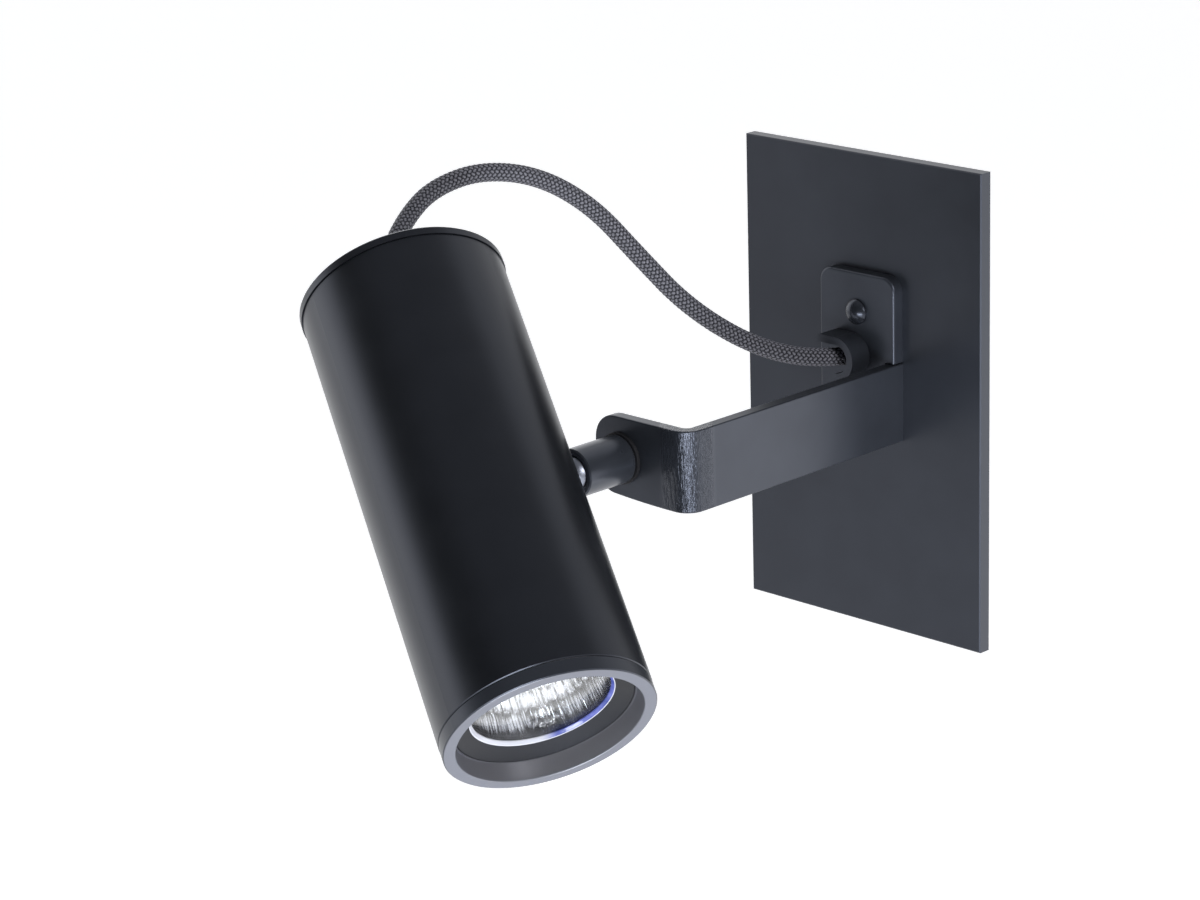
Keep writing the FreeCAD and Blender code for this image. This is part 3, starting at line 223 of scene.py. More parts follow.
softbox("far_panel", (0.48, 0.45, -0.20), ARM_MIDDLE, (0.6, 0.6), FAR_PANEL_WATTS)
softbox(
    "low_card", (0.71, -1.02, -0.34), ARM_MIDDLE, (0.8, 0.26), LOW_CARD_WATTS, LOW_CARD_TINT
)
softbox("right_softbox", (1.4, -0.2, 0.6), HEAD_MIDDLE, (0.7, 0.7), RIGHT_SOFTBOX_WATTS)

# %% [markdown]
# ## The cord
# The cord is a textile-covered lead, 5.8 mm thick, that leaves the back of the can, arches over
# and dives through a small hook into the wall plate. Its line is one NURBS spline on a few
# listed points: a spline of order 3 is smooth everywhere, as a real cord is.
#
# The braid is real geometry. Sixteen flat strands wind round a core, eight to the left and
# eight to the right, and each rises and dips so that it passes over one neighbour and under the
# next. A picture of a braid would look flat at the cord's edge, and this does not.

# %% The line of the cord
CORD_ROUTE_MM = [
    (-69.3, -135.5, 52.7),
    (-75.4, -132.7, 58.2),
    (-78.5, -121.4, 67.4),
    (-77.9, -111.0, 73.9),
    (-71.8, -97.1, 77.7),
    (-63.0, -81.3, 74.4),
    (-53.1, -68.3, 63.9),
    (-43.7, -58.5, 47.9),
    (-32.9, -48.6, 31.4),
    (-18.9, -35.3, 18.5),
    (-5.6, -21.8, 13.0),
    (0.3, -9.6, 13.0),
]
CORD_JOIN_RUN = 6
CORD_R = 2.9 * MM
STEPS_PER_SPAN = 48
SPLINE_ORDER = 3


def spline_points(route_mm):
    """Points along a smooth NURBS spline whose control points are the route."""
    curve = bpy.data.curves.new("cord_line", "CURVE")
    curve.dimensions = "3D"
    curve.resolution_u = STEPS_PER_SPAN
    spline = curve.splines.new("NURBS")
    spline.points.add(len(route_mm) - 1)
    for point, place in zip(spline.points, route_mm):
        point.co = (*millimetres(*place), 1)
    spline.order_u = SPLINE_ORDER
    spline.use_endpoint_u = True
    holder = bpy.data.objects.new("cord_line", curve)
    bpy.context.scene.collection.objects.link(holder)
    mesh = bpy.data.meshes.new_from_object(holder)
    points = np.array([v.co for v in mesh.vertices])
    bpy.data.objects.remove(holder)
    return points


def lengths_along(points):
    """Distance from the first point to each point, along the line."""
    return np.concatenate([[0], np.cumsum(np.linalg.norm(np.diff(points, axis=0), axis=1))])


def unit(vectors):
    """The vectors at length 1."""
    return vectors / np.linalg.norm(vectors, axis=-1, keepdims=True)


def carried_sideways(points):
    """A sideways direction at each point, carried along the line without twisting."""
    tangents = unit(np.gradient(points, axis=0))
    side = np.cross(tangents[0], (0, 0, 1))
    sides = []
    for tangent in tangents:
        side = unit(side - tangent * (side @ tangent))
        sides.append(side)
    return np.array(sides), tangents


cord_line = spline_points(CORD_ROUTE_MM)
cord_run = lengths_along(cord_line)
cord_sides, cord_tangents = carried_sideways(cord_line)
cord_length = cord_run[-1]
before_join, after_join = CORD_ROUTE_MM[CORD_JOIN_RUN - 1 : CORD_JOIN_RUN + 1]
join = (millimetres(*before_join) + millimetres(*after_join)) / 2
join_at = cord_run[np.linalg.norm(cord_line - np.array(join), axis=1).argmin()]
print(f"cord {cord_length * 1000:.1f} mm, joined at {join_at * 1000:.1f} mm")


def on_cord(distance):
    """Place, sideways and second sideways directions at distances along the cord."""

    def read(values):
        return np.stack([np.interp(distance, cord_run, values[:, k]) for k in range(3)], axis=1)

    side, tangent = unit(read(cord_sides)), unit(read(cord_tangents))
    side = unit(side - tangent * (side * tangent).sum(axis=1, keepdims=True))
    return read(cord_line), side, np.cross(tangent, side)


# %% [markdown]
# A strand's height above the core follows a cosine, and the two families of strands use the
# same cosine with opposite signs, so wherever they cross one is up and the other is down.

# %% The braid
STRANDS_EACH_WAY = 8
BRAID_LEAD = 12.0 * MM
STRAND_WIDTH = 1.26 * MM
STRAND_HEIGHT = 0.36 * MM
STRAND_RISE = 0.16 * MM
STEPS_PER_WAVE = 8
STRAND_SIDES = 6
CORE_SIDES = 20
CORE_STEP = 1.0 * MM
WAVES_PER_LEAD = STRANDS_EACH_WAY
STRAND_RADIUS = CORD_R - STRAND_RISE - STRAND_HEIGHT / 2
CORE_R = STRAND_RADIUS - STRAND_RISE


def tube_faces(rings, sides, first):
    """Faces of a closed tube whose rings of points follow each other, starting at first."""
    faces = []
    for ring in range(rings - 1):
        for k in range(sides):
            here, there = first + ring * sides, first + (ring + 1) * sides
            after = (k + 1) % sides
            faces.append((here + k, here + after, there + after, there + k))
    faces.append(tuple(first + k for k in reversed(range(sides))))
    faces.append(tuple(first + (rings - 1) * sides + k for k in range(sides)))
    return faces


def strand(distance, way, number):
    """Rings of points of one flat strand. way is 1 or -1, for its hand."""
    place, side, other = on_cord(distance)
    turn = way * math.tau * distance / BRAID_LEAD + math.tau * number / STRANDS_EACH_WAY
    outward = np.cos(turn)[:, None] * side + np.sin(turn)[:, None] * other
    wave = way * np.cos(math.tau * WAVES_PER_LEAD * distance / BRAID_LEAD)
    middle = place + outward * (STRAND_RADIUS + STRAND_RISE * wave)[:, None]
    along = unit(np.gradient(middle, axis=0))
    up = unit(outward - along * (outward * along).sum(axis=1, keepdims=True))
    across = np.cross(along, up)
    rings = []
    for k in range(STRAND_SIDES):
        angle = math.tau * k / STRAND_SIDES
        rings.append(
            middle
            + across * (STRAND_WIDTH / 2 * math.cos(angle))
            + up * (STRAND_HEIGHT / 2 * math.sin(angle))
        )
    return np.stack(rings, axis=1).reshape(-1, 3), np.repeat((wave + 1) / 2, STRAND_SIDES)


def braided(name, start, end, material):
    """A length of the cord as one mesh: a core and sixteen strands."""
    points, heights, along = [], [], []
    steps = max(2, round((end - start) / CORE_STEP))
    distance = np.linspace(start, end, steps)
    place, side, other = on_cord(distance)
    angle = (np.arange(CORE_SIDES) * math.tau / CORE_SIDES)[None, :, None]
    ring = np.cos(angle) * side[:, None] + np.sin(angle) * other[:, None]
    core = (place[:, None] + ring * CORE_R).reshape(-1, 3)
    points.append(core)
    heights.append(np.zeros(len(core)))
    along.append(np.repeat(distance, CORE_SIDES))
    faces = tube_faces(steps, CORE_SIDES, 0)
    count = len(core)
    steps = round((end - start) / (BRAID_LEAD / WAVES_PER_LEAD) * STEPS_PER_WAVE)
    distance = np.linspace(start, end, steps)
    for way in (1, -1):
        for number in range(STRANDS_EACH_WAY):
            rings, height = strand(distance, way, number)
            points.append(rings)
            heights.append(height)
            along.append(np.repeat(distance, STRAND_SIDES))
            faces += tube_faces(steps, STRAND_SIDES, count)
            count += len(rings)
    piece = finished(name, np.concatenate(points), faces, material)
    mesh = piece.data
    mesh.polygons.foreach_set("use_smooth", [True] * len(mesh.polygons))
    for title, values in (("strand_height", heights), ("cord_distance", along)):
        attribute = mesh.attributes.new(title, "FLOAT", "POINT")
        attribute.data.foreach_set("value", np.concatenate(values).astype(np.float32))
    mesh.validate()
    print(f"{name}: {len(mesh.polygons)} faces")
    return piece


# %% [markdown]
# ## Shader helpers
# Every finish below is built from the same few blocks: a place to read a pattern from, a noise,
# a ramp of colours and a bump. Noise scales are written as the size of a grain in millimetres,
# which is easier to judge against a photograph than a bare scale.

# %% Shader helpers
def place_of(tree, stretch=(1, 1, 1)):
    """The piece's own coordinates, stretched along its axes."""
    read = node(tree, "ShaderNodeTexCoord")
    shaped = node(tree, "ShaderNodeMapping")
    shaped.inputs["Scale"].default_value = stretch
    tree.links.new(read.outputs["Object"], shaped.inputs["Vector"])
    return shaped.outputs["Vector"]


def grain(tree, place, size_mm, detail=2.0, roughness=0.5):
    """Noise whose blotches are about size_mm across, from 0 to 1."""
    made = node(tree, "ShaderNodeTexNoise")
    made.inputs["Scale"].default_value = 1 / (size_mm * MM)
    made.inputs["Detail"].default_value = detail
    made.inputs["Roughness"].default_value = roughness
    tree.links.new(place, made.inputs["Vector"])
    return made.outputs["Fac"]


def ramp(tree, value, *stops):
    """A colour ramp through (position, colour) stops."""
    made = node(tree, "ShaderNodeValToRGB")
    elements = made.color_ramp.elements
    while len(elements) < len(stops):
        elements.new(0.5)
    for element, (position, colour) in zip(elements, stops):
        element.position = position
        element.color = (*colour, 1)
    tree.links.new(value, made.inputs["Fac"])
    return made.outputs["Color"]


def between(tree, value, low, high):
    """The value from 0..1 spread between low and high."""
    made = node(tree, "ShaderNodeMapRange")
    made.inputs["To Min"].default_value = low
    made.inputs["To Max"].default_value = high
    tree.links.new(value, made.inputs["Value"])
    return made.outputs["Result"]


def bump(tree, height, depth_mm, under=None, strength=1.0):
    """Relief of about depth_mm, on top of another relief if one is given."""
    made = node(tree, "ShaderNodeBump")
    made.inputs["Distance"].default_value = depth_mm * MM
    made.inputs["Strength"].default_value = strength
    tree.links.new(height, made.inputs["Height"])
    if under is not None:
        tree.links.new(under, made.inputs["Normal"])
    return made.outputs["Normal"]


def shade(grey, blue=0.0):
    """A dark neutral colour, a little bluer by blue."""
    return (grey, grey * (1 + blue * 0.3), grey * (1 + blue))


# %% [markdown]
# ## Satin black paint
# Plate, arm, stub and can are all painted black, yet each reads a little differently in the
# photograph. One function makes them all: a colour that drifts very slightly, a roughness that
# does the same, and a fine relief, like the skin of an orange, that breaks up the gloss.

# %% Satin black paint
PAINT_SHINE = (0.74, 0.80, 1.0)
DRIFT_MM = 14


def satin_paint(name, grey, roughness, peel_mm=0.5, peel_depth=0.004, blue=0.4):
    """Black paint with a bluish shine. peel_mm and peel_depth describe its orange peel."""
    material, tree, shader = shader_material(name)
    place = place_of(tree)
    drift = grain(tree, place, DRIFT_MM, detail=3)
    colour = ramp(tree, drift, (0.3, shade(grey * 0.85, blue)), (0.7, shade(grey * 1.15, blue)))
    gloss = between(tree, drift, roughness * 0.92, roughness * 1.08)
    tree.links.new(colour, shader.inputs["Base Color"])
    tree.links.new(gloss, shader.inputs["Roughness"])
    shader.inputs["Specular Tint"].default_value = (*PAINT_SHINE, 1)
    peel = grain(tree, place, peel_mm, detail=2)
    tree.links.new(bump(tree, peel, peel_depth), shader.inputs["Normal"])
    return material


plate_finish = satin_paint("plate_finish", 0.012, 0.38)
stub_finish = satin_paint("stub_finish", 0.026, 0.28, peel_depth=0.002)
head_finish = satin_paint("head_finish", 0.005, 0.30, peel_depth=0.002)
baffle_finish = satin_paint(
    "baffle_finish", 0.007, 0.42, peel_mm=0.35, peel_depth=0.03, blue=-0.3
)
screw_finish = satin_paint("screw_finish", 0.012, 0.24, peel_depth=0.001)

# %% [markdown]
# Where the flat bar is bent, its outer skin is stretched and the paint over it looks drawn and
# uneven, in short upright streaks, and it is glossier there. The streaks are a noise stretched
# along the bend. Both fade out with the distance from the bend's centre line.

# %% The arm's paint with its drawn bend
BEND_CENTRE = millimetres(10.9, -95.85, 0)
STREAK_NEAR = 6.4 * MM
STREAK_FAR = 8.6 * MM
STREAK_MM = 0.7
STREAK_STRETCH = (1, 1, 0.2)
STREAK_DEPTH = 0.34
BRACKET_ROUGHNESS = 0.34
BEND_ROUGHNESS = 0.16


def bracket_paint(name):
    """Satin paint that is streaked and glossier round the bend."""
    material = satin_paint(name, 0.018, BRACKET_ROUGHNESS)
    tree = material.node_tree
    shader = tree.nodes["Principled BSDF"]
    peel_normal = shader.inputs["Normal"].links[0].from_socket
    apart = node(tree, "ShaderNodeVectorMath", operation="DISTANCE")
    apart.inputs[1].default_value = BEND_CENTRE
    tree.links.new(place_of(tree, (1, 1, 0)), apart.inputs[0])
    fade = fading(tree, "near_bend", apart.outputs["Value"], (STREAK_NEAR, STREAK_FAR), (1, 0))
    gloss = between(tree, fade, BRACKET_ROUGHNESS, BEND_ROUGHNESS)
    tree.links.new(gloss, shader.inputs["Roughness"])
    streak = grain(tree, place_of(tree, STREAK_STRETCH), STREAK_MM, detail=3, roughness=0.6)
    faded = node(tree, "ShaderNodeMath", operation="MULTIPLY")
    tree.links.new(streak, faded.inputs[0])
    tree.links.new(fade, faded.inputs[1])
    normal = bump(tree, faded.outputs["Value"], STREAK_DEPTH, under=peel_normal)
    tree.links.new(normal, shader.inputs["Normal"])
    return material


bracket_finish = bracket_paint("bracket_finish")

# %% [markdown]
# ## The textile of the cord
# The strands are bundles of dyed black yarn. On top of the braid the yarn catches light in rows
# of small pale dots, and between the strands it lies in shade and is nearly black. The mesh
# carries each point's height in the braid as an attribute, and the colour reads it: it paints
# the highlight on top of the strands and the shade between them.

# %% The textile of the cord
YARN_MM = 0.12
# The share of the colour that comes from strand height, as painted highlight and painted shade.
PAINTED_LIGHT_SHARE = 0.85


def textile(name):
    """Dyed black yarn, with painted shade between the strands and a painted highlight where a
    strand is on top.
    """
    material, tree, shader = shader_material(name)
    # Painted light: strand height lightens the crests as a painted highlight and darkens the
    # valleys between the strands as painted shade.
    height = node(tree, "ShaderNodeAttribute", attribute_name="strand_height")
    yarn = grain(tree, place_of(tree), YARN_MM, detail=2, roughness=0.7)
    yarn_and_painted_light = node(tree, "ShaderNodeMath", operation="MULTIPLY_ADD")
    yarn_and_painted_light.inputs[1].default_value = PAINTED_LIGHT_SHARE
    tree.links.new(height.outputs["Fac"], yarn_and_painted_light.inputs[0])
    tree.links.new(between(tree, yarn, 0, 1 - PAINTED_LIGHT_SHARE), yarn_and_painted_light.inputs[2])
    colour = ramp(
        tree,
        yarn_and_painted_light.outputs["Value"],
        (0.0, (0.008, 0.009, 0.013)),
        (0.62, (0.018, 0.019, 0.026)),
        (0.85, (0.13, 0.13, 0.155)),
        (1.0, (0.40, 0.40, 0.46)),
    )
    tree.links.new(colour, shader.inputs["Base Color"])
    tree.links.new(bump(tree, yarn, 0.06), shader.inputs["Normal"])
    shader.inputs["Roughness"].default_value = 0.5
    shader.inputs["Specular IOR Level"].default_value = 0.3
    return material


cord_braid = textile("cord_braid")

# %% [markdown]
# The free cord is two meshes that meet in the middle of the arch, one half at the can and one
# at the wall, and each takes the place of one cord node of the frame, which is hidden.

# %% The free cord
join_point = Vector(on_cord(np.array([join_at]))[0][0])


def cord_half(name, stands_for, start, end):
    """One half of the free cord, in place of the node it stands for, which is hidden."""
    piece = braided(name, start, end, cord_braid)
    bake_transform(piece)
    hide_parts(stands_for)
    return piece


cord_half(
    "cord_at_head", "cord_front", 0.0, join_at,
)
cord_half(
    "cord_at_wall", "cord_rear", join_at, cord_length,
)

# %% [markdown]
# ## The front ring
# The ring is black outside like the can, but its face and its bore are bare, darkly anodised
# metal. One material does it all: it reads how far a point is from the head's axis, which
# tells the outside from the rest, and how far along it, which tells the face from the bore.
# The bore is painted a little darker than the face, as painted shade in the recess. The axis
# comes from the frame, through the middles of two round nodes.

# %% The head's axis and the ring's finish
RING_BARE_TO_MM = (30.65, 30.75)
FACE_BEYOND_GLASS_MM = (9.4, 9.7)
FACE_GREY = (0.19, 0.195, 0.22)
# The bore's grey is darker than the face's grey as painted shade.
SHADED_BORE_GREY = (0.17, 0.17, 0.185)
BARE_METALLIC = 0.6
OUTSIDE_ROUGHNESS, BARE_ROUGHNESS = 0.30, 0.42


def middle_of(name):
    """The middle of a node's box, which lies on the head's axis for anything turned on it."""
    low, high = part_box(name)
    return (low + high) / 2


HEAD_AXIS = (middle_of("lamp_glass") - middle_of("head_tube")).normalized()


def lamp_place():
    """The lamp's own axes: origin in the middle of its front glass, Z towards the light."""
    turn = HEAD_AXIS.to_track_quat("Z", "Y").to_matrix().to_4x4()
    return Matrix.Translation(middle_of("lamp_glass")) @ turn


def off_axis(tree):
    """Distance from the head's axis."""
    arm = node(tree, "ShaderNodeVectorMath", operation="SUBTRACT")
    arm.inputs[1].default_value = middle_of("lamp_glass")
    tree.links.new(place_of(tree), arm.inputs[0])
    moment = node(tree, "ShaderNodeVectorMath", operation="CROSS_PRODUCT")
    moment.inputs[1].default_value = HEAD_AXIS
    tree.links.new(arm.outputs["Vector"], moment.inputs[0])
    length = node(tree, "ShaderNodeVectorMath", operation="LENGTH")
    tree.links.new(moment.outputs["Vector"], length.inputs[0])
    return length.outputs["Value"]


def mixed_colour(tree, factor, low, high):
    """From one colour to another. Each is plain, or comes out of a node."""
    made = node(tree, "ShaderNodeMix", data_type="RGBA")
    tree.links.new(factor, made.inputs["Factor"])
    for socket, colour in (("A", low), ("B", high)):
        if isinstance(colour, tuple):
            made.inputs[socket].default_value = (*colour, 1)
        else:
            tree.links.new(colour, made.inputs[socket])
    return made.outputs["Result"]


def fading_along(tree, name, axis, limits_mm, levels):
    """A smooth change along an axis, with its limits counted from the lamp's front glass."""
    start = middle_of("lamp_glass").dot(axis)
    limits = tuple(start + limit * MM for limit in limits_mm)
    return fading(tree, name, cosine(tree, place_of(tree), axis), limits, levels)


def ring_paint(name):
    """Black outside, bare in the bore and on the face, with painted shade darkening the bore a
    little.
    """
    material = satin_paint(name, 0.008, 0.32, peel_mm=0.35, peel_depth=0.012)
    tree = material.node_tree
    shader = tree.nodes["Principled BSDF"]
    limits = tuple(r * MM for r in RING_BARE_TO_MM)
    bare = fading(tree, "bare", off_axis(tree), limits, (1, 0))
    face = fading_along(tree, "face", HEAD_AXIS, FACE_BEYOND_GLASS_MM, (0, 1))
    # Painted shade: the bore gets a darker grey than the face.
    metal = ramp(tree, face, (0, SHADED_BORE_GREY), (1, FACE_GREY))
    colour = mixed_colour(tree, bare, shade(0.016, 0.4), metal)
    roughness = between(tree, bare, OUTSIDE_ROUGHNESS, BARE_ROUGHNESS)
    tree.links.new(colour, shader.inputs["Base Color"])
    tree.links.new(between(tree, bare, 0, BARE_METALLIC), shader.inputs["Metallic"])
    tree.links.new(roughness, shader.inputs["Roughness"])
    return material


ring_finish = ring_paint("ring_finish")

# %% [markdown]
# ## Metals, plastics and glass
# Most of these are inside and seldom seen, so two functions are enough for them: bare metal
# with fine scratches, and moulded stuff with the texture of its mould.

# %% Plain metals and plastics
def bare_metal(name, colour, roughness, scratch_mm=0.4, depth=0.002):
    """Metal with fine scratches in no one direction."""
    material, tree, shader = shader_material(name)
    place = place_of(tree)
    cloud = grain(tree, place, 5, detail=4, roughness=0.6)
    dull = tuple(c * 0.8 for c in colour)
    tree.links.new(ramp(tree, cloud, (0.3, dull), (0.7, colour)), shader.inputs["Base Color"])
    shader.inputs["Metallic"].default_value = 1.0
    gloss = between(tree, cloud, roughness * 1.2, roughness * 0.8)
    tree.links.new(gloss, shader.inputs["Roughness"])
    scratch = grain(tree, place_of(tree, (1, 1, 0.2)), scratch_mm, detail=3)
    tree.links.new(bump(tree, scratch, depth), shader.inputs["Normal"])
    return material


def moulded(name, colour, roughness, grain_mm=0.3, depth=0.006):
    """Plastic, rubber or ceramic, with a mould's fine texture."""
    material, tree, shader = shader_material(name)
    place = place_of(tree)
    cloud = grain(tree, place, 6, detail=3)
    low = tuple(c * 0.88 for c in colour)
    tree.links.new(ramp(tree, cloud, (0.3, low), (0.7, colour)), shader.inputs["Base Color"])
    shader.inputs["Roughness"].default_value = roughness
    tree.links.new(bump(tree, grain(tree, place, grain_mm), depth), shader.inputs["Normal"])
    return material


zinc_steel = bare_metal("zinc_steel", (0.62, 0.62, 0.60), 0.35)
raw_aluminium = bare_metal("raw_aluminium", (0.72, 0.73, 0.74), 0.30)
brass = bare_metal("brass", (0.78, 0.58, 0.28), 0.25)
washer_nylon = moulded("washer_nylon", (0.010, 0.010, 0.013), 0.6)
gland_plastic = moulded("gland_plastic", (0.016, 0.016, 0.019), 0.42)
bush_rubber = moulded("bush_rubber", (0.015, 0.015, 0.016), 0.7)
lead_insulation = moulded("lead_insulation", (0.75, 0.74, 0.70), 0.45)
earth_insulation = moulded("earth_insulation", (0.10, 0.42, 0.10), 0.45)
white_ceramic = moulded("white_ceramic", (0.82, 0.81, 0.77), 0.30)
ball_finish = bare_metal("ball_finish", (0.30, 0.32, 0.38), 0.36, depth=0.0005)
tungsten = bare_metal("tungsten", (0.35, 0.34, 0.33), 0.35)


def clear_glass_material(name):
    """Smooth glass without a tint."""
    material, _, shader = shader_material(name)
    shader.inputs["Base Color"].default_value = (1, 1, 1, 1)
    shader.inputs["Transmission Weight"].default_value = 1.0
    shader.inputs["Roughness"].default_value = 0.0
    shader.inputs["IOR"].default_value = 1.5
    return material


clear_glass = clear_glass_material("clear_glass")

# %% [markdown]
# ## The reflector
# The lamp's bowl is pressed glass with 48 shallow flutes and a mirror coat that turns violet at
# its rim. Only one flute is drawn, as a thin strip of the bowl with its inside, its rim and its
# back. Geometry Nodes repeat it round the axis and weld the strips into one closed bowl.

# %% Arcs
def arc_through(start, middle, end, steps):
    """Points of (radius, height) on the arc from start through middle to end."""
    a, b, c = (complex(*point) for point in (start, middle, end))
    ratio = (c - a) / (b - a)
    centre = (a - b) * (ratio - abs(ratio) ** 2) / (2j * ratio.imag) + a
    first, last = a - centre, c - centre
    sweep = math.atan2(last.imag, last.real) - math.atan2(first.imag, first.real)
    sweep = math.remainder(sweep, math.tau)
    points = []
    for k in range(steps + 1):
        angle = sweep * k / steps
        point = centre + first * complex(math.cos(angle), math.sin(angle))
        points.append((point.real, point.imag))
    return points


# %% Geometry Nodes that repeat and sweep
def node_group(name, titles):
    """A node tree with a geometry input and output, and the other inputs that titles name."""
    tree = bpy.data.node_groups.new(name, "GeometryNodeTree")
    tree.interface.new_socket("Geometry", in_out="INPUT", socket_type="NodeSocketGeometry")
    keys = {
        title: tree.interface.new_socket(title, in_out="INPUT", socket_type=kind).identifier
        for title, kind in titles.items()
    }
    tree.interface.new_socket("Geometry", in_out="OUTPUT", socket_type="NodeSocketGeometry")
    return tree, keys, node(tree, "NodeGroupInput")


def give(tree, *shapes):
    """Link a chain of geometry nodes by their first sockets, realized at its end."""
    chain = [*shapes, node(tree, "GeometryNodeRealizeInstances")]
    for before, after in zip(chain, chain[1:]):
        tree.links.new(before.outputs[0], after.inputs[0])
    return chain[-1]


def give_out(tree, given, *shapes):
    """End a tree in Realize Instances, a weld, flat shading and Set Material."""
    weld = node(tree, "GeometryNodeMergeByDistance")
    weld.inputs["Distance"].default_value = WELD
    flat = node(tree, "GeometryNodeSetShadeSmooth")
    flat.inputs["Shade Smooth"].default_value = False
    painted = node(tree, "GeometryNodeSetMaterial")
    chain = [give(tree, *shapes), weld, flat, painted, node(tree, "NodeGroupOutput")]
    for before, after in zip(chain, chain[1:]):
        tree.links.new(before.outputs[0], after.inputs[0])
    tree.links.new(given.outputs["Finish"], painted.inputs["Material"])


def grown(piece, tree, keys, values, place):
    """Run a tree on a piece, keep the result as its plain mesh, and put it in its place."""
    modifier = piece.modifiers.new(tree.name, "NODES")
    modifier.node_group = tree
    for title, value in values.items():
        modifier[keys[title]] = value
    seen = piece.evaluated_get(bpy.context.evaluated_depsgraph_get())
    mesh = bpy.data.meshes.new_from_object(seen)
    piece.modifiers.clear()
    piece.data = mesh
    mesh.transform(place)
    shape = bmesh.new()
    shape.from_mesh(mesh)
    bmesh.ops.recalc_face_normals(shape, faces=shape.faces)
    shape.to_mesh(mesh)
    shape.free()
    print(f"{piece.name}: {len(mesh.polygons)} faces")
    return piece


def repeating_tree():
    """Copies of the piece's own mesh, evenly round its Z axis."""
    tree, keys, given = node_group(
        "repeated_round", {"Copies": "NodeSocketInt", "Finish": "NodeSocketMaterial"}
    )
    spots = node(tree, "GeometryNodePoints")
    share = node(tree, "ShaderNodeMath", operation="DIVIDE")
    turn = node(tree, "ShaderNodeMath", operation="MULTIPLY")
    turn.inputs[1].default_value = math.tau
    spin = node(tree, "ShaderNodeCombineXYZ")
    copies = node(tree, "GeometryNodeInstanceOnPoints")
    tree.links.new(given.outputs["Copies"], spots.inputs["Count"])
    tree.links.new(node(tree, "GeometryNodeInputIndex").outputs[0], share.inputs[0])
    tree.links.new(given.outputs["Copies"], share.inputs[1])
    tree.links.new(share.outputs["Value"], turn.inputs[0])
    tree.links.new(turn.outputs["Value"], spin.inputs["Z"])
    tree.links.new(spots.outputs[0], copies.inputs["Points"])
    tree.links.new(given.outputs["Geometry"], copies.inputs["Instance"])
    tree.links.new(spin.outputs["Vector"], copies.inputs["Rotation"])
    give_out(tree, given, copies)
    return tree, keys


def coiling_tree():
    """A coil of wire along Z."""
    tree, keys, given = node_group(
        "coil",
        {
            "Turns": "NodeSocketFloat",
            "Radius": "NodeSocketFloat",
            "Height": "NodeSocketFloat",
            "Wire": "NodeSocketFloat",
            "Finish": "NodeSocketMaterial",
        },
    )
    spiral = node(tree, "GeometryNodeCurveSpiral")
    spiral.inputs["Resolution"].default_value = COIL_STEPS
    for title, sockets in {
        "Turns": ["Rotations"], "Radius": ["Start Radius", "End Radius"], "Height": ["Height"]
    }.items():
        for socket in sockets:
            tree.links.new(given.outputs[title], spiral.inputs[socket])
    section = node(tree, "GeometryNodeCurvePrimitiveCircle")
    section.inputs["Resolution"].default_value = WIRE_SIDES
    tree.links.new(given.outputs["Wire"], section.inputs["Radius"])
    swept = node(tree, "GeometryNodeCurveToMesh")
    swept.inputs["Fill Caps"].default_value = True
    tree.links.new(spiral.outputs[0], swept.inputs["Curve"])
    tree.links.new(section.outputs[0], swept.inputs["Profile Curve"])
    give_out(tree, given, swept)
    return tree, keys


# %% The bowl
WELD = 0.01 * MM
FLUTES = 48
FLUTE_STEPS = 3
FLUTE_DEPTH_MM = 0.42
BOWL_STEPS = 12
BOWL_INSIDE = ((7.0, -26.9), (17.55, -17.08), (21.9, -0.65))
BOWL_OUTSIDE = ((24.6, -1.75), (18.85, -17.73), (9.5, -28.9))
BOWL_RIM = [(23.2, -0.65), (23.2, 1.25), (25.0, 1.25), (25.0, -1.75)]
NECK_END = -32.9
NECK_INSIDE_R, NECK_OUTSIDE_R = 7.0, 9.5
VIOLET_FROM = 0.80
MIRROR_ROUGHNESS = 0.06


def reflector_glass(name):
    """The mirror coat. The mesh says how far up the bowl a point is."""
    material, tree, shader = shader_material(name)
    height = node(tree, "ShaderNodeAttribute", attribute_name="up_bowl")
    silver, violet, clear = (0.92, 0.93, 0.95), (0.40, 0.36, 0.72), (0.75, 0.80, 0.92)
    colour = ramp(
        tree, height.outputs["Fac"],
        (0.0, silver), (VIOLET_FROM, silver), (VIOLET_FROM + 0.1, violet), (1.0, clear),
    )
    tree.links.new(colour, shader.inputs["Base Color"])
    shader.inputs["Metallic"].default_value = 1.0
    shader.inputs["Roughness"].default_value = MIRROR_ROUGHNESS
    return material


def one_share(name, outline, copies, steps, material):
    """One of so many equal shares of a ring whose section is a closed outline. Each entry of the
    outline is (radius, height, hollow), where hollow is how deep a flute bites there."""
    vertices = []
    for radius, height, hollow in outline:
        for k in range(steps + 1):
            across = 2 * k / steps - 1
            r = radius + hollow * (1 - across**2)
            angle = across * math.pi / copies
            vertices.append(millimetres(r * math.cos(angle), r * math.sin(angle), height))
    faces = []
    for i in range(len(outline)):
        here, there = i * (steps + 1), (i + 1) % len(outline) * (steps + 1)
        faces += [(here + k, here + k + 1, there + k + 1, there + k) for k in range(steps)]
    return finished(name, vertices, faces, material)


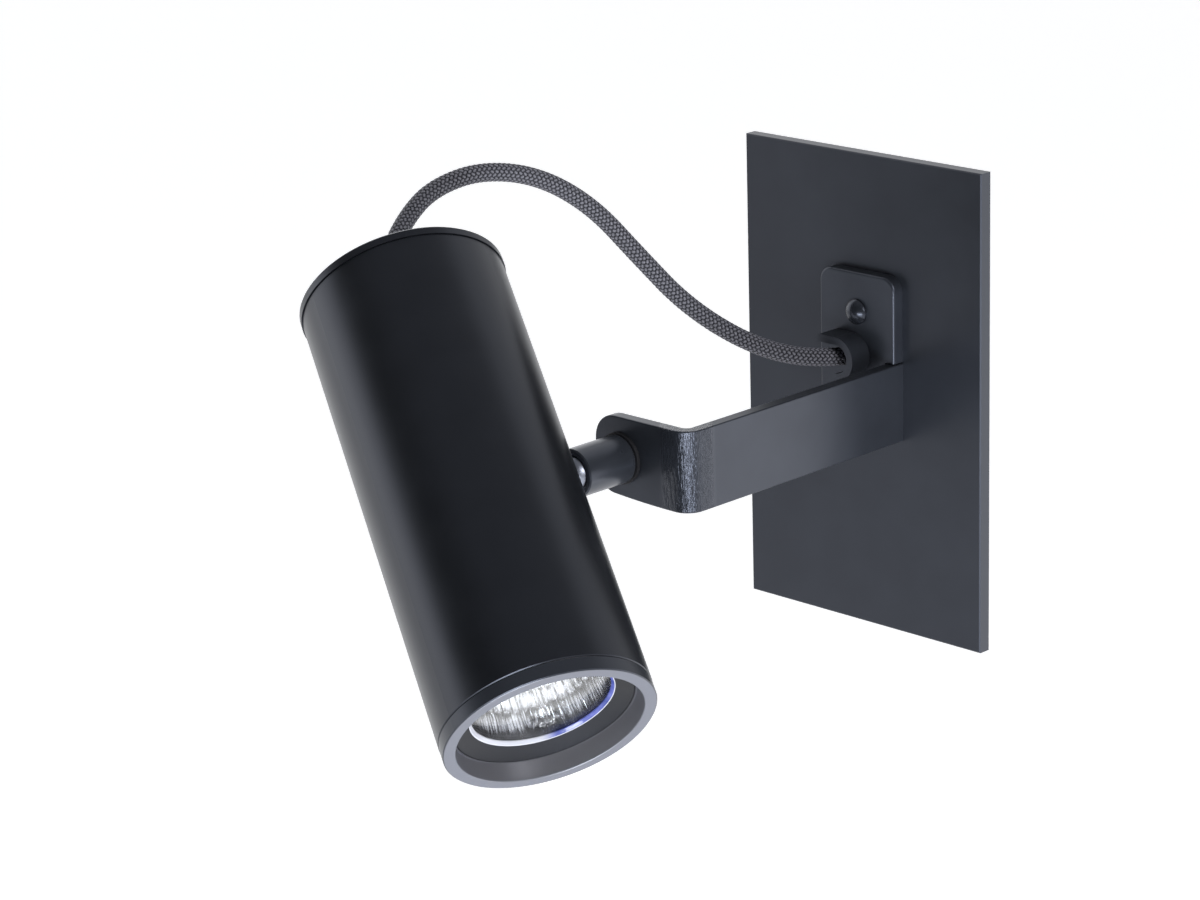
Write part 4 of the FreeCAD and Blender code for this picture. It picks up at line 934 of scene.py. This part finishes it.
def one_flute(name, material):
    """A strip of the bowl, one flute wide, with its inside, rim and back."""
    inside = arc_through(*BOWL_INSIDE, BOWL_STEPS)
    back = arc_through(*BOWL_OUTSIDE, BOWL_STEPS)
    foot = [(NECK_INSIDE_R, NECK_END)]
    outline = [*foot, *inside, *BOWL_RIM, *back, (NECK_OUTSIDE_R, NECK_END)]
    fluted = range(1, 1 + len(inside))
    low, high = BOWL_INSIDE[0][1], BOWL_INSIDE[-1][1]
    shares = [
        (height - low) / (high - low) if i in fluted else 0
        for i, (_, height) in enumerate(outline)
    ]
    section = [
        (radius, height, FLUTE_DEPTH_MM * math.sqrt(share))
        for (radius, height), share in zip(outline, shares)
    ]
    piece = one_share(name, section, FLUTES, FLUTE_STEPS, material)
    up_bowl = np.repeat(shares, FLUTE_STEPS + 1)
    attribute = piece.data.attributes.new("up_bowl", "FLOAT", "POINT")
    attribute.data.foreach_set("value", up_bowl.astype(np.float32))
    return piece


reflector_mirror = reflector_glass("reflector_mirror")
bowl = grown(
    one_flute("fluted_reflector", reflector_mirror),
    *repeating_tree(),
    {"Copies": FLUTES, "Finish": reflector_mirror},
    lamp_place(),
)
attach(bowl, "head")
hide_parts("lamp_reflector")

# %% [markdown]
# The bowl's front edge shows as a rounded bead inside the retainer. The mirror coat on it is
# violet on one side. The pale colour on the other side is a painted reflection, and the pale
# line all round its outermost edge is a painted highlight.

# %% The lamp's rim
RIM_SHARES = 96
RIM_SECTION = [(20.3, 0.66), (20.3, 1.0), (20.9, 1.75), (21.26, 1.9), (21.26, 0.66)]
# The last of these is the pale colour of the painted reflection and painted highlight on the
# rim.
RIM_DEEP, RIM_LIGHT, RIM_PAINTED_LIGHT = (0.03, 0.05, 0.24), (0.14, 0.16, 0.48), (0.50, 0.51, 0.57)
RIM_CLOUD_MM = 5
HIGHLIGHT_EDGE_MM = (20.98, 21.05)
VIOLET_FROM_MM = (-1.0, 5.0)
VIOLET_SIDE = Vector((0.7, 0.7, 0.0)).normalized()


def rim_glass(name):
    """Violet on one side of the lamp, with a painted reflection on the other side and a painted
    highlight at the outer edge.
    """
    material, tree, shader = shader_material(name)
    limits = tuple(r * MM for r in HIGHLIGHT_EDGE_MM)
    edge = fading(tree, "edge", off_axis(tree), limits, (0, 1))
    side = fading_along(tree, "side", VIOLET_SIDE, VIOLET_FROM_MM, (1, 0))
    # Painted light: the pale colour on one side is a painted reflection, and the pale outer edge
    # is a painted highlight.
    painted_light = node(tree, "ShaderNodeMath", operation="MAXIMUM")
    tree.links.new(side, painted_light.inputs[0])
    tree.links.new(edge, painted_light.inputs[1])
    cloud = grain(tree, place_of(tree), RIM_CLOUD_MM, detail=2)
    violet = ramp(tree, cloud, (0.35, RIM_DEEP), (0.65, RIM_LIGHT))
    colour = mixed_colour(tree, painted_light.outputs["Value"], violet, RIM_PAINTED_LIGHT)
    tree.links.new(colour, shader.inputs["Base Color"])
    shader.inputs["Roughness"].default_value = 0.12
    return material


reflector_rim = rim_glass("reflector_rim")
rim_section = [(radius, height, 0) for radius, height in RIM_SECTION]
rim = grown(
    one_share("reflector_rim", rim_section, RIM_SHARES, 1, reflector_rim),
    *repeating_tree(),
    {"Copies": RIM_SHARES, "Finish": reflector_rim},
    lamp_place(),
)
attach(rim, "head")

# %% [markdown]
# The burner is a thin quartz bulb, drawn as half an outline and turned by hand, with a sealed
# pip at its tip. In it stands a coiled filament on two leads.

# %% The burner
BULB_SIDES = 32
BULB_R = 4.5
BULB_WALL = 0.6
BULB_FOOT = -34.9
BULB_SHOULDER = -15.4
BULB_TIP = -10.9
DOME_STEPS = 8
PIP_HEIGHT = 0.2
PIP_FOOT_R, PIP_R = 0.5, 0.3
COIL_STEPS = 14
WIRE_SIDES = 6
COIL_TURNS = 9.0
COIL_R = 0.9 * MM
COIL_HEIGHT = 7.0 * MM
COIL_FOOT = -24.0
WIRE_R = 0.16 * MM


def turned(name, outline, sides, material, place):
    """A closed outline of (radius, height) in millimetres, turned about Z and put in place.
    Its first and last points lie on the axis."""
    rings = outline[1:-1]
    vertices = [millimetres(0, 0, outline[0][1]), millimetres(0, 0, outline[-1][1])]
    for radius, height in rings:
        for k in range(sides):
            angle = math.tau * k / sides
            x, y = radius * math.cos(angle), radius * math.sin(angle)
            vertices.append(millimetres(x, y, height))
    faces = []
    last = 2 + (len(rings) - 1) * sides
    for k in range(sides):
        after = (k + 1) % sides
        faces += [(0, 2 + after, 2 + k), (1, last + k, last + after)]
        for ring in range(len(rings) - 1):
            here, there = 2 + ring * sides, 2 + (ring + 1) * sides
            faces.append((here + k, here + after, there + after, there + k))
    piece = finished(name, vertices, faces, material)
    piece.data.transform(place)
    piece.data.polygons.foreach_set("use_smooth", [True] * len(faces))
    return piece


def dome(radius, foot, tip, steps):
    """Points from a cylinder's shoulder up to just before its tip on the axis."""
    rise = tip - foot
    angles = [math.pi / 2 * k / steps for k in range(steps)]
    return [(radius * math.cos(a), foot + rise * math.sin(a)) for a in angles]


inner_r = BULB_R - BULB_WALL
inner_tip = BULB_TIP - BULB_WALL
bulb_outline = [
    (0, BULB_FOOT),
    (BULB_R, BULB_FOOT),
    *dome(BULB_R, BULB_SHOULDER, BULB_TIP, DOME_STEPS),
    (PIP_FOOT_R, BULB_TIP),
    (PIP_R, BULB_TIP + PIP_HEIGHT),
    (0, BULB_TIP + PIP_HEIGHT),
]
hollow_outline = [
    (0, BULB_FOOT + BULB_WALL),
    (inner_r, BULB_FOOT + BULB_WALL),
    *dome(inner_r, BULB_SHOULDER, inner_tip, DOME_STEPS),
    (0, inner_tip),
]
bulb = turned("quartz_bulb", bulb_outline, BULB_SIDES, clear_glass, lamp_place())
hollow = turned("bulb_hollow", hollow_outline, BULB_SIDES, clear_glass, lamp_place())
hollow.data.flip_normals()
joined = bmesh.new()
for half_mesh in (bulb.data, hollow.data):
    joined.from_mesh(half_mesh)
joined.to_mesh(bulb.data)
joined.free()
bpy.data.objects.remove(hollow)
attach(bulb, "head")
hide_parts("lamp_capsule")

coil_place = lamp_place() @ Matrix.Translation(millimetres(0, 0, COIL_FOOT))
coil = grown(
    finished("filament", [], [], tungsten),
    *coiling_tree(),
    {
        "Turns": COIL_TURNS, "Radius": COIL_R, "Height": COIL_HEIGHT, "Wire": WIRE_R,
        "Finish": tungsten,
    },
    coil_place,
)
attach(coil, "head")

# %% Each node's finish
FINISHES = {
    plate_finish: ["backplate"],
    bracket_finish: ["arm", "foot_plate", "cord_hook"],
    stub_finish: ["stub"],
    ball_finish: ["knuckle"],
    head_finish: ["head_tube", "rear_cap"],
    ring_finish: ["front_ring"],
    baffle_finish: ["lamp_retainer"],
    screw_finish: ["foot_screws", "grub_screw"],
    zinc_steel: [
        "mounting_bar", "bar_spacer", "swivel_bolt", "swivel_spring_washer", "pad_spring",
        "knuckle_washer", "knuckle_nut", "holder_bracket", "holder_screws", "bracket_screws",
    ],
    raw_aluminium: ["knuckle_saddle"],
    brass: ["earth_tag", "head_earth_tag", "lamp_pins"],
    washer_nylon: ["swivel_washer", "friction_pad"],
    gland_plastic: ["cord_gland", "gland_nut"],
    bush_rubber: ["cord_grommet"],
    lead_insulation: ["supply_leads", "head_leads"],
    earth_insulation: ["earth_lead", "head_earth_lead"],
    cord_braid: ["cord_tail", "cord_entry"],
    white_ceramic: ["lamp_base", "lamp_holder"],
    clear_glass: ["lamp_glass"],
}
for finish, names in FINISHES.items():
    for name in names:
        nodes[name].data.materials.clear()
        nodes[name].data.materials.append(finish)
